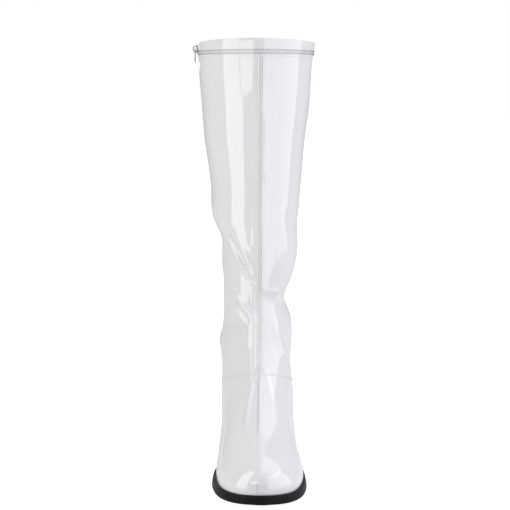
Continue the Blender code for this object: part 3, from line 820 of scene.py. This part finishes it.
# The vamp edge: the vamp over the foot laps the shaft by a few millimetres. Its edge falls from the
# instep to the waist on both sides.

VAMP_FALL = math.tan(math.radians(27))
VAMP_LAP = 3.2
VAMP_RISE = 0.40
VAMP_ROUND = 4.0
VAMP_REACH = 1.95
VAMP_SIDE_SHARE = 0.35
VAMP_SECTION = (-0.3, 0.75, 1.0, 1.0, 1.0, 0.8, -0.5)


def level_on_slope(angle, drop):
    """The level at which the vamp's edge, or a line a drop below it, crosses an angle."""
    levels = np.linspace(0, VAMP_LEVEL + 0.3, 240)
    line = ring_point(levels, np.full_like(levels, angle))
    peak = ring_point(np.array([VAMP_LEVEL]), np.array([0.0]))[0]
    reach = np.hypot(peak[1] - line[:, 1], (line[:, 0] - peak[0]) * VAMP_SIDE_SHARE)
    above = line[:, 2] - (peak[2] - VAMP_FALL * np.maximum(reach - VAMP_ROUND, 0) - drop)
    return float(np.interp(0, above, levels))


vamp_turns = np.linspace(-VAMP_REACH, VAMP_REACH, 240)
lap_rows = np.linspace(0, 1, len(VAMP_SECTION))
lap = np.array([[level_on_slope(turn, VAMP_LAP * (1 - row)) for turn in vamp_turns] for row in lap_rows])
lift = np.broadcast_to(VAMP_RISE * np.array(VAMP_SECTION)[:, None], lap.shape)
turns = np.broadcast_to(vamp_turns, lap.shape)
vamp_edge = laid_grid("vamp_edge", skin_point(lap, turns, lift))
shade(vamp_edge, 70)
patent.dress(vamp_edge)
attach(vamp_edge, "boot")


# The stitches: pale polyester thread, with a near-black disc at each end as painted shade for its
# needle hole. The hem, the front seam and the seam over the vamp and toe have a zigzag each, and the
# vamp's edge has one plain row.

THREAD = 0.45
STITCH = 2.3
STITCH_GAP = 0.6
HOLE_STRETCH = 0.7
HOLE_LIFT = 0.1
HOLE_FLATNESS = 0.35

thread_finish = Finish("pale_thread", (0.62, 0.62, 0.62), roughness=0.6)
strands = thread_finish.noise(400.0)
thread_finish.clouded(strands, 0.54, 0.70)
thread_finish.relief(thread_finish.wave(900.0, "DIAGONAL"), 0.05)

# Painted shade: these near-black discs stand for the shade inside the needle holes, not for a colour of
# their own.
hole_shade_finish = Finish("needle_hole_painted_shade", (0.05, 0.05, 0.05), roughness=0.9)
hole_shade_noise = hole_shade_finish.noise(500.0)
hole_shade_finish.clouded(hole_shade_noise, 0.03, 0.09)


def sewn(name, starts, ends, outward, thick=THREAD, finish=thread_finish, flat=0.8):
    """One rounded stitch, copied to lie between each start and end, and joined into one row."""
    bpy.ops.object.select_all(action="DESELECT")
    bpy.ops.mesh.primitive_uv_sphere_add(segments=6, ring_count=5, radius=0.5)
    stitch = bpy.context.object
    unit_form = np.zeros(len(stitch.data.vertices) * 3, np.float32)
    stitch.data.vertices.foreach_get("co", unit_form)
    unit_form = unit_form.reshape(-1, 3)
    starts, ends, outward = to_frame(starts), to_frame(ends), unit(outward * np.array([1, -1, 1]))
    row = []
    for start, end, out in zip(starts, ends, outward):
        run = end - start
        length = np.linalg.norm(run)
        along = run / length
        aside = unit(np.cross(out, along))
        up = np.cross(along, aside)
        form = unit_form * np.array([thick * MM, thick * MM * flat, length])
        places = (start + end) / 2 + form[:, :1] * aside + form[:, 1:2] * up + form[:, 2:] * along
        copy = bpy.data.objects.new(name, stitch.data.copy())
        copy.data.vertices.foreach_set("co", places.astype(np.float32).ravel())
        bpy.context.scene.collection.objects.link(copy)
        row.append(copy)
    bpy.data.objects.remove(stitch)
    select(*row)
    bpy.ops.object.join()
    piece = bpy.context.object
    piece.name = piece.data.name = name
    shade(piece, 60)
    finish.dress(piece)
    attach(piece, "boot")
    return piece


def run_of(points):
    """How far along a line of points each one lies."""
    return np.concatenate([[0], np.cumsum(np.linalg.norm(np.diff(points, axis=0), axis=1))])


def on_run(places, run, rows):
    """Points, or directions, at places along a run."""
    return np.stack([np.interp(places, run, column) for column in rows.T], axis=-1)


def spaced(points, normals, pitch, gap):
    """Starts, ends and outward directions of running stitches along a line of points."""
    run = run_of(points)
    begins = np.arange(0, run[-1] - pitch, pitch)
    ends = on_run(begins + pitch - gap, run, points)
    return on_run(begins, run, points), ends, on_run(begins, run, normals)


def seam_line(bottom, top, aside, lift, count):
    """Points and normals of a line beside the front seam, between two levels."""
    levels = np.linspace(bottom, top, count)
    angles = np.array([angle_across(level, seam_across(level) + aside) for level in levels])
    return skin_point(levels, angles, lift), ring_normal(levels, angles)


def zigzag(name, low_edge, high_edge, pitch, thick, hole):
    """Slanted stitches between two edges of like points, and a near-black disc of painted needle-hole shade
    at the end of each.
    """
    run = run_of(low_edge[0])
    ticks = np.arange(pitch / 2, run[-1], pitch)
    stops, outs = np.empty((2, len(ticks), 3))
    for i, (points, normals) in enumerate((low_edge, high_edge)):
        stops[i::2] = on_run(ticks[i::2], run, points)
        outs[i::2] = on_run(ticks[i::2], run, normals)
    sewn(name + "_stitches", stops[:-1], stops[1:], outs[:-1], thick)
    half = on_run(ticks, run, unit(high_edge[0] - low_edge[0])) * hole * HOLE_STRETCH
    places = stops + outs * HOLE_LIFT
    sewn(name + "_holes", places - half, places + half, outs, hole, hole_shade_finish, HOLE_FLATNESS)


SEAM_PITCH = 1.45
HEM_PITCH = 1.52
SEAM_ROWS = (-1.5, 1.5)
VAMP_ROWS = (-0.45, 0.45)
TOE_ROWS = (-0.3, 0.3)
HEM_ROWS = (0.18, 0.38)
HEM_LIFT = 0.68
TOE_STITCHES = (0.35, 1.3)
VAMP_STITCHES = (5.2, VAMP_LEVEL - 0.1)
SEAM_STITCHES = (VAMP_LEVEL + 0.02, HEM_LEVEL)

rows = [seam_line(*SEAM_STITCHES, aside, SEAM_RISE + 0.04, 500) for aside in SEAM_ROWS]
zigzag("front_seam", *rows, SEAM_PITCH, thick=0.5, hole=0.6)
rows = [seam_line(*VAMP_STITCHES, aside, 0.30, 200) for aside in VAMP_ROWS]
zigzag("vamp_seam", *rows, SEAM_PITCH, thick=0.45, hole=0.5)
rows = [seam_line(*TOE_STITCHES, aside, 0.30, 60) for aside in TOE_ROWS]
zigzag("toe", *rows, SEAM_PITCH, thick=0.4, hole=0.5)

hem_run = np.linspace(0.012, 0.988, 2600)
rows = []
for rise in HEM_ROWS:
    levels = np.full_like(hem_run, HEM_LEVEL + rise * (TOP_LEVEL - HEM_LEVEL))
    angles = round_from_slot(levels, hem_run)
    rows.append((skin_point(levels, angles, HEM_LIFT), ring_normal(levels, angles)))
zigzag("hem", *rows, HEM_PITCH, thick=0.55, hole=1.0)

vamp_row = np.array([level_on_slope(turn, VAMP_LAP * 0.5) for turn in vamp_turns])
vamp_line = skin_point(vamp_row, vamp_turns, VAMP_RISE + 0.05)
sewn("vamp_stitches", *spaced(vamp_line, ring_normal(vamp_row, vamp_turns), STITCH, STITCH_GAP))


# The outsole: a black rubber unit, thick under the forefoot and thin at the waist. Its wall slopes in
# and its flat margin stands out round the toe.

SOLE_COLUMNS = 240
WELT_MARGIN = 3.4
WAIST_MARGIN = 0.6
SOLE_FORM = table("full inset share", [
    (0.0, 0.0, 0.0),
    (0.6, 0.0, 0.0),
    (1.0, 2.6, 0.0),
    (1.0, 1.2, 0.0),
    (1.0, 0.55, 0.04),
    (1.0, 0.2, 0.12),
    (1.0, 0.0, 0.22),
    (1.0, 0.1, 0.34),
    (1.0, 0.9, 0.82),
    (1.0, 1.05, 0.92),
    (1.0, 1.45, 1.0),
    (1.0, 2.2, 1.0),
    (1.0, 6.0, 1.0),
    (0.0, 0.0, 1.0),
])


def sole_edge(angle, inset):
    """The sole's outline: wider than the upper by the welt margin in front, and nearly flush behind."""

    def outline(angle):
        station = UPPER_BACK + (1 + np.cos(angle)) / 2 * (UPPER_TIP - UPPER_BACK)
        front_end = rounded(UPPER_TIP - station, TOE_ROUND, TOE_POWER)
        back_end = rounded(station - UPPER_BACK, HEEL_ROUND, HEEL_POWER)
        fore = step(station, *TUCK_FADE)
        middle, half = plan_at(station)
        half = half * (1 - FEATHER_TUCK * (1 - fore))
        side = np.sign(np.sin(angle))
        return np.stack([middle + side * half * front_end * back_end, station], axis=-1), fore

    edge, fore = outline(angle)
    ahead = outline(angle + 1e-3)[0] - outline(angle - 1e-3)[0]
    outward = unit(np.stack([-ahead[..., 1], ahead[..., 0]], axis=-1))
    margin = WAIST_MARGIN + (WELT_MARGIN - WAIST_MARGIN) * fore - inset
    return edge + outward * margin[..., None]


def toward_middle(edge, full):
    """Draws an outline in towards the foot's middle line, where full is 0."""
    middle, _ = plan_at(edge[:, 1])
    return np.column_stack([middle + (edge[:, 0] - middle) * full, edge[:, 1]])


def welded_slab(name, rings, degrees=40):
    """A closed solid from rings of points, whose first and last ring lie flat on the middle line."""
    piece = laid_grid(name, np.array(rings))
    merge_and_face_out(piece)
    shade(piece, degrees)
    return piece


def loop_turns(columns):
    """Angles round an outline that skip both tips, and close on the first."""
    turns = (np.arange(columns) + 0.5) * 2 * math.pi / columns
    return np.append(turns, turns[0])


turns = loop_turns(SOLE_COLUMNS)
rings = []
for full, inset, share in zip(*SOLE_FORM.values()):
    edge = toward_middle(sole_edge(turns, inset), full)
    height = underside(edge[:, 1]) + share * sole_thickness(edge[:, 1])
    rings.append(np.column_stack([edge, height]))
outsole = welded_slab("outsole", rings)

rubber = Finish("black_rubber", (0.006, 0.006, 0.006), roughness=0.42, specular_ior_level=0.12)
dust = rubber.noise(60.0, 5.0)
rubber.clouded(dust, 0.004, 0.009)
rubber.roughness(dust * 0.2 + 0.32)
tread = rubber.wave(110.0, "Y", distortion=2.0) + rubber.noise(700.0) * 0.3
rubber.relief(tread, 0.12)
rubber.dress(outsole)
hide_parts("outsole")
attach(outsole, "boot")


# The sock: a thin sheet of pale synthetic leather over the insole board. It is glued in and fills the
# lasted edge of the upper, so that its rim turns down to the sole.

SOCK_THICKNESS = 2.5
SOCK_CLEARANCE = 2.4
SOCK_COLUMNS = 200
SOCK_FORM = table("full inset rise", [
    (0.0, 0.10, 0.0),
    (1.0, 0.60, 0.0),
    (1.0, 0.20, 0.1),
    (1.0, 0.10, 0.3),
    (1.0, 0.25, 0.6),
    (1.0, 0.60, 0.85),
    (1.0, 1.20, 1.0),
    (1.0, 3.0, 1.0),
    (0.5, 3.0, 1.0),
    (0.0, 3.0, 1.0),
])


turns = loop_turns(SOCK_COLUMNS)
outline = ring_point(np.zeros_like(turns), turns)[:, :2]
ahead = np.roll(outline[:-1], -1, axis=0) - np.roll(outline[:-1], 1, axis=0)
outward = unit(np.stack([-ahead[:, 1], ahead[:, 0]], axis=-1))
outward = np.concatenate([outward, outward[:1]])
rings = []
for full, inset, rise in zip(*SOCK_FORM.values()):
    edge = toward_middle(outline - outward * (SOCK_CLEARANCE + inset), full)
    rings.append(np.column_stack([edge, feather(edge[:, 1]) + rise * SOCK_THICKNESS]))
sock = welded_slab("sock", rings)

sheet = Finish("cream_sock", (0.66, 0.62, 0.54), roughness=0.55)
grain = sheet.noise(380.0, 4.0)
sheet.clouded(sheet.noise(22.0, 4.0), (0.60, 0.56, 0.48), (0.70, 0.66, 0.585))
sheet.roughness(grain * 0.2 + 0.45)
sheet.relief(grain, 0.06)
sheet.dress(sock)
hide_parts("insole")
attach(sock, "boot")


# The heel: a moulded block, wrapped in the same white patent. The wrap is drawn round from the breast
# and is glued down, and the block is nailed on from inside.

HEEL_INSET = 0.8
HEEL_TAPER_BACK = 4.0
HEEL_TAPER_SIDE = 2.5
HEEL_TAPER_BREAST = 6.0
HEEL_CORNER = 1.5
HEEL_STATIONS = 44
TOP_LIFT_THICKNESS = 6.0
GAP = 0.3
HEEL_FORM = table("full rise inset", [
    (0.0, 0.0, 0.0),
    (0.96, 0.0, 0.0),
    (1.0, 0.0, 0.35),
    (1.0, 0.012, 0.0),
    *[(1.0, tenth / 10, 0.0) for tenth in range(1, 10)],
    (1.0, 0.985, 0.0),
    (1.0, 1.0, 0.35),
    (0.96, 1.0, 0.0),
    (0.0, 1.0, 0.0),
])


def heel_loop(drop, inset=0.0):
    """The block's outline at a share of its drop, with its two front corners rounded."""
    front = BREAST - HEEL_TAPER_BREAST * drop**0.7 - inset
    back = UPPER_BACK + HEEL_INSET + HEEL_TAPER_BACK * drop + inset
    corner = front - HEEL_CORNER
    turn = np.linspace(math.pi / 2, math.pi, HEEL_STATIONS)
    station = np.maximum(corner + (corner - back) * np.cos(turn), back + 0.15)
    bend = np.linspace(0, math.pi / 2, 6)[:-1]
    station = np.concatenate([corner + HEEL_CORNER * np.cos(bend), station])
    middle, half = plan_at(station)
    half = half * (1 - FEATHER_TUCK) + WAIST_MARGIN
    half -= HEEL_INSET + HEEL_TAPER_SIDE * drop + inset
    half *= rounded(station - back, HEEL_ROUND, HEEL_POWER)
    half[: len(bend)] -= HEEL_CORNER * (1 - np.sin(bend))
    outer, inner = (np.column_stack([middle + side * half, station]) for side in (1, -1))
    loop = np.concatenate([outer, inner[::-1]])
    return np.concatenate([loop, loop[:1]])


rings = []
for full, rise, inset in zip(*HEEL_FORM.values()):
    edge = toward_middle(heel_loop(1 - rise, inset), full)
    bottom = TOP_LIFT_THICKNESS + GAP
    rings.append(np.column_stack([edge, bottom + rise * (underside(edge[:, 1]) - GAP - bottom)]))
heel = welded_slab("heel_block", rings, 50)

wrap = Finish("wrapped_patent", (0.76, 0.76, 0.76), roughness=0.17, coat_weight=1.0, coat_roughness=0.05)
wrap.clouded(wrap.noise(24.0, 3.0), (0.735, 0.735, 0.727), (0.775, 0.775, 0.78))
wrap.roughness(wrap.noise(50.0, 4.0) * 0.12 + 0.12)
wrap.relief(wrap.noise(150.0, 2.0) + wrap.noise(480.0) * 0.4, 0.03)
wrap.dress(heel)
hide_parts("heel_block")
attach(heel, "boot")


# The top lift: a tip of hard black rubber under the heel. It is pinned to the block and its lower edge
# is worn round.

LIFT_FORM = table("full height inset", [
    (0.0, 0.0, 0.0),
    (0.96, 0.0, 0.0),
    (1.0, 0.0, 0.9),
    (1.0, 0.25, 0.35),
    (1.0, 0.8, 0.05),
    (1.0, 2.0, 0.0),
    (1.0, 5.6, 0.0),
    (1.0, 6.0, 0.3),
    (0.96, 6.0, 0.0),
    (0.0, 6.0, 0.0),
])

rings = []
for full, height, inset in zip(*LIFT_FORM.values()):
    edge = toward_middle(heel_loop(1.0, inset), full)
    rings.append(np.column_stack([edge, np.full(len(edge), height)]))
top_lift = welded_slab("top_lift", rings, 50)

tip = Finish("tip_rubber", (0.014, 0.014, 0.014), roughness=0.5)
dust = tip.noise(80.0, 5.0)
tip.clouded(dust, 0.010, (0.024, 0.023, 0.022))
tip.roughness(dust * 0.25 + 0.4)
tip.relief(tip.wave(160.0, "DIAGONAL") + tip.noise(600.0) * 0.3, 0.10)
tip.dress(top_lift)
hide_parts("top_lift")
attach(top_lift, "boot")


# The zip tape: two woven bands behind the slot, sewn to the upper's edges. A row of stitches on each
# side of the slot holds them.

TAPE_DEPTH = 2.1
TAPE_THICKNESS = 0.7
TAPE_WIDTH = 24.0
TAPE_OVERRUN = 0.4
ZIP_TOP_DROP = 4.5
SLOT_MARGIN = 2.4
TAPE_STITCH_GAP = 0.5

zip_top = TOP_LEVEL - ZIP_TOP_DROP / (COLLAR_HEIGHT - RINGS["front_height"][-2])


def beside_zip(levels, aside):
    """Angles that lie a distance in front of the zip's middle line, or behind it where negative."""
    return zip_angle(levels) + zip_half_angle(levels, 2.0) * aside


up, across = shares(260, 17)
rings = ZIP_BOTTOM_LEVEL - TAPE_OVERRUN + up * (zip_top - ZIP_BOTTOM_LEVEL + TAPE_OVERRUN)
angles = beside_zip(rings, TAPE_WIDTH * (across - 0.5))
tape_face = ring_point(rings, angles) - ring_normal(rings, angles) * TAPE_DEPTH
zip_tape = laid_grid("zip_tape", tape_face)
merge_and_face_out(zip_tape)
finish_with(zip_tape, "SOLIDIFY", thickness=TAPE_THICKNESS * MM, offset=-1)
shade(zip_tape, 40)

woven = Finish("woven_tape", (0.72, 0.72, 0.72), roughness=0.8)
weave = woven.wave(420.0, "Z") * woven.wave(520.0, "Y")
woven.clouded(weave, 0.56, 0.76)
woven.relief(weave, 0.12)
woven.dress(zip_tape)
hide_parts("zip_tape")
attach(zip_tape, "boot")

levels = np.linspace(ZIP_BOTTOM_LEVEL, HEM_LEVEL, 700)
for side, side_name in ((1, "front"), (-1, "back")):
    angles = beside_zip(levels, side * (ZIP_SLOT / 2 + SLOT_MARGIN))
    line = skin_point(levels, angles, 0.02)
    sewn("zip_stitches_" + side_name, *spaced(line, ring_normal(levels, angles), STITCH, TAPE_STITCH_GAP))


# The teeth: a closed coil of white nylon, moulded and sewn along the inner edge of each tape. Its loops
# reach in turn from each side over the middle.

TEETH_PITCH = 1.27
TOOTH = 0.86
TOOTH_REACH = 2.4
TOOTH_HOOK = 0.5
COIL_START = 0.22
COIL_LEAN = (-0.25, 0.02)

levels = np.linspace(ZIP_BOTTOM_LEVEL + COIL_START, zip_top - 0.005, 900)
middle = ring_point(levels, zip_angle(levels))
coil_run = run_of(middle)
starts, ends, outs = [], [], []
for side, first in ((1, 0.5), (-1, 1.0)):
    at = np.interp(np.arange(first * TEETH_PITCH, coil_run[-1], TEETH_PITCH), coil_run, levels)
    out = ring_normal(at, zip_angle(at))
    starts.append(ring_point(at, beside_zip(at, side * TOOTH_REACH)) + out * COIL_LEAN[0])
    ends.append(ring_point(at, beside_zip(at, -side * TOOTH_HOOK)) + out * COIL_LEAN[1])
    outs.append(out)
teeth = sewn("zip_teeth", *(np.concatenate(part) for part in (starts, ends, outs)), TOOTH)

nylon = Finish("white_nylon", (0.74, 0.74, 0.74), roughness=0.32)
nylon.clouded(nylon.noise(120.0), 0.70, 0.77)
nylon.roughness(nylon.noise(200.0) * 0.15 + 0.25)
nylon.dress(teeth)
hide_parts("zip_coil")


# The slider: cast metal, plated with nickel. Its saddle grips the coil and its bridge holds the pull. It
# stands closed at the top of the zip.

SLIDER_HEIGHT = 418.5
SLIDER_LENGTH = 9.0
SLIDER_PLATE = 0.9
COIL_RISE = 0.5
COIL_WIDTH = 5.0
BRIDGE_WIDTH = 1.6
BRIDGE_THICKNESS = 0.9
BRIDGE_REACH = 4.0
BRIDGE_HALF_RUN = 0.36
BRIDGE_ROUND = 0.55


def zip_frame(height):
    """A point on the surface at the zip line, with its forward, outward and up directions."""
    small = 0.05

    def surface(station, height):
        middle, half = upper_section(station, height)
        return np.stack([middle - half, station, height], axis=-1)

    station = zip_station(height)
    up = unit(surface(station, height + small) - surface(station, height - small))
    forward = unit(surface(station + small, height) - surface(station - small, height))
    outward = unit(np.cross(up, forward))
    return surface(station, height), unit(np.cross(outward, up)), outward, up


slider_place, slider_forward, slider_outward, slider_up = zip_frame(SLIDER_HEIGHT)


def on_slider(aside, out, along):
    """A point by the slider's own directions."""
    aside, out, along = np.broadcast_arrays(aside, out, along)
    return (
        slider_place
        + aside[..., None] * slider_forward
        + out[..., None] * slider_outward
        + along[..., None] * slider_up
    )


def soften_edges(piece, width, degrees):
    """Rounds the edges that are sharper than an angle, as tumbling does to cast metal."""
    limits = {"limit_method": "ANGLE", "angle_limit": math.radians(degrees)}
    finish_with(piece, "BEVEL", width=width * MM, segments=2, **limits)


under = COIL_RISE + GAP
arm = COIL_WIDTH / 2 + GAP
saddle_aside = np.array([-1, -1, -1, -0.93, -0.8, -0.5, 0, 0.5, 0.8, 0.93, 1, 1, 1]) * arm
saddle_out = np.array([-0.9, -0.4, 0.1, 0.5, 0.72, 0.8, 0.8, 0.8, 0.72, 0.5, 0.1, -0.4, -0.9])
runs = np.array([-0.5, -0.47, -0.3, -0.1, 0.1, 0.3, 0.47, 0.5]) * SLIDER_LENGTH
saddle = laid_grid("zip_slider", on_slider(saddle_aside[None, :], saddle_out[None, :], runs[:, None]))
merge_and_face_out(saddle)
finish_with(saddle, "SOLIDIFY", thickness=SLIDER_PLATE * MM, offset=1)
soften_edges(saddle, 0.22, 40)

bridge_foot = under + SLIDER_PLATE - 0.3
bridge_top = under + SLIDER_PLATE + BRIDGE_REACH
bend = np.linspace(0, math.pi, 25)
bridge_along = np.cos(bend) * SLIDER_LENGTH * BRIDGE_HALF_RUN * np.where(np.sin(bend) > 0.6, 0.98, 1.0)
bridge_out = bridge_foot + (bridge_top - bridge_foot) * np.sin(bend) ** BRIDGE_ROUND
sides = np.array([-0.5, 0.0, 0.5]) * BRIDGE_WIDTH
bridge_place = on_slider(sides[None, :], bridge_out[:, None], bridge_along[:, None])
bridge = laid_grid("bridge", bridge_place)
merge_and_face_out(bridge)
finish_with(bridge, "SOLIDIFY", thickness=BRIDGE_THICKNESS * MM, offset=-1)
soften_edges(bridge, 0.2, 50)
select(saddle, bridge)
bpy.ops.object.join()
shade(saddle, 45)

nickel = Finish("nickel_plate", (0.30, 0.30, 0.33), roughness=0.24, metallic=1.0)
worn = nickel.noise(160.0, 4.0)
nickel.clouded(worn, (0.24, 0.24, 0.27), (0.36, 0.36, 0.39))
nickel.roughness(worn * 0.18 + 0.16)
nickel.relief(nickel.noise(700.0), 0.02)
nickel.dress(saddle)
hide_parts("zip_slider")
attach(saddle, "boot")


# The pull: a flat tab of plated metal with a window, stamped in one piece. It hangs by its top bar under
# the slider's bridge and swings up on that bar.

PULL_THICKNESS = 0.99
PULL_BAR = 1.1
PULL_WINDOW = 4.0
PULL_LENGTH = 13.6
PULL_WIDTH = 6.4
PULL_CORNER = 0.6
PULL_TIP = (0.8, 0.55)
PULL_WIDEST = 0.55
PULL_COLUMNS = 72


def reach_of(corners, centre, turns):
    """How far a polygon's edge lies from a point inside it, at each angle."""
    corners = np.array(corners, float)
    share = np.linspace(0, 1, 60, endpoint=False)[:, None]
    following = np.roll(corners, -1, axis=0)
    edge = np.concatenate([a + (b - a) * share for a, b in zip(corners, following)]) - centre
    turn = np.arctan2(edge[:, 1], edge[:, 0])
    order = np.argsort(turn)
    return np.interp(turns, turn[order], np.hypot(*edge[order].T), period=2 * math.pi)


half, bar = PULL_WIDTH / 2, PULL_BAR / 2
right_edge = [(half - PULL_CORNER, bar), (half, bar - PULL_CORNER), (half, -PULL_LENGTH * PULL_WIDEST)]
right_edge += [(half * PULL_TIP[0], -PULL_LENGTH + bar + 0.8), (half * PULL_TIP[1], -PULL_LENGTH + bar)]
tab = right_edge + [(-aside, along) for aside, along in reversed(right_edge)]
gap = BRIDGE_WIDTH / 2 + 0.5
window = [(-gap, -bar), (gap, -bar), (gap, -bar - PULL_WINDOW), (-gap, -bar - PULL_WINDOW)]
window_centre = np.array([0, -bar - PULL_WINDOW / 2])
window_turns = np.linspace(0, 2 * math.pi, PULL_COLUMNS + 1)
pivot_out = under + SLIDER_PLATE + (BRIDGE_REACH - BRIDGE_THICKNESS) / 2
pivot = slider_place + slider_outward * pivot_out
inner_reach = reach_of(window, window_centre, window_turns)
outer_reach = reach_of(tab, window_centre, window_turns)
rows = []
for share in (0.0, 0.5, 1.0):
    reach = inner_reach + (outer_reach - inner_reach) * share
    place = window_centre + np.column_stack([np.cos(window_turns), np.sin(window_turns)]) * reach[:, None]
    rows.append(pivot + np.column_stack([np.zeros(len(place)), -place[:, 0], place[:, 1]]))
zip_pull = laid_grid("zip_pull", np.array(rows))
merge_and_face_out(zip_pull)
finish_with(zip_pull, "SOLIDIFY", thickness=PULL_THICKNESS * MM, offset=0)
soften_edges(zip_pull, 0.2, 50)
shade(zip_pull, 45)
nickel.dress(zip_pull)
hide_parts("zip_pull")
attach(zip_pull, "pull")
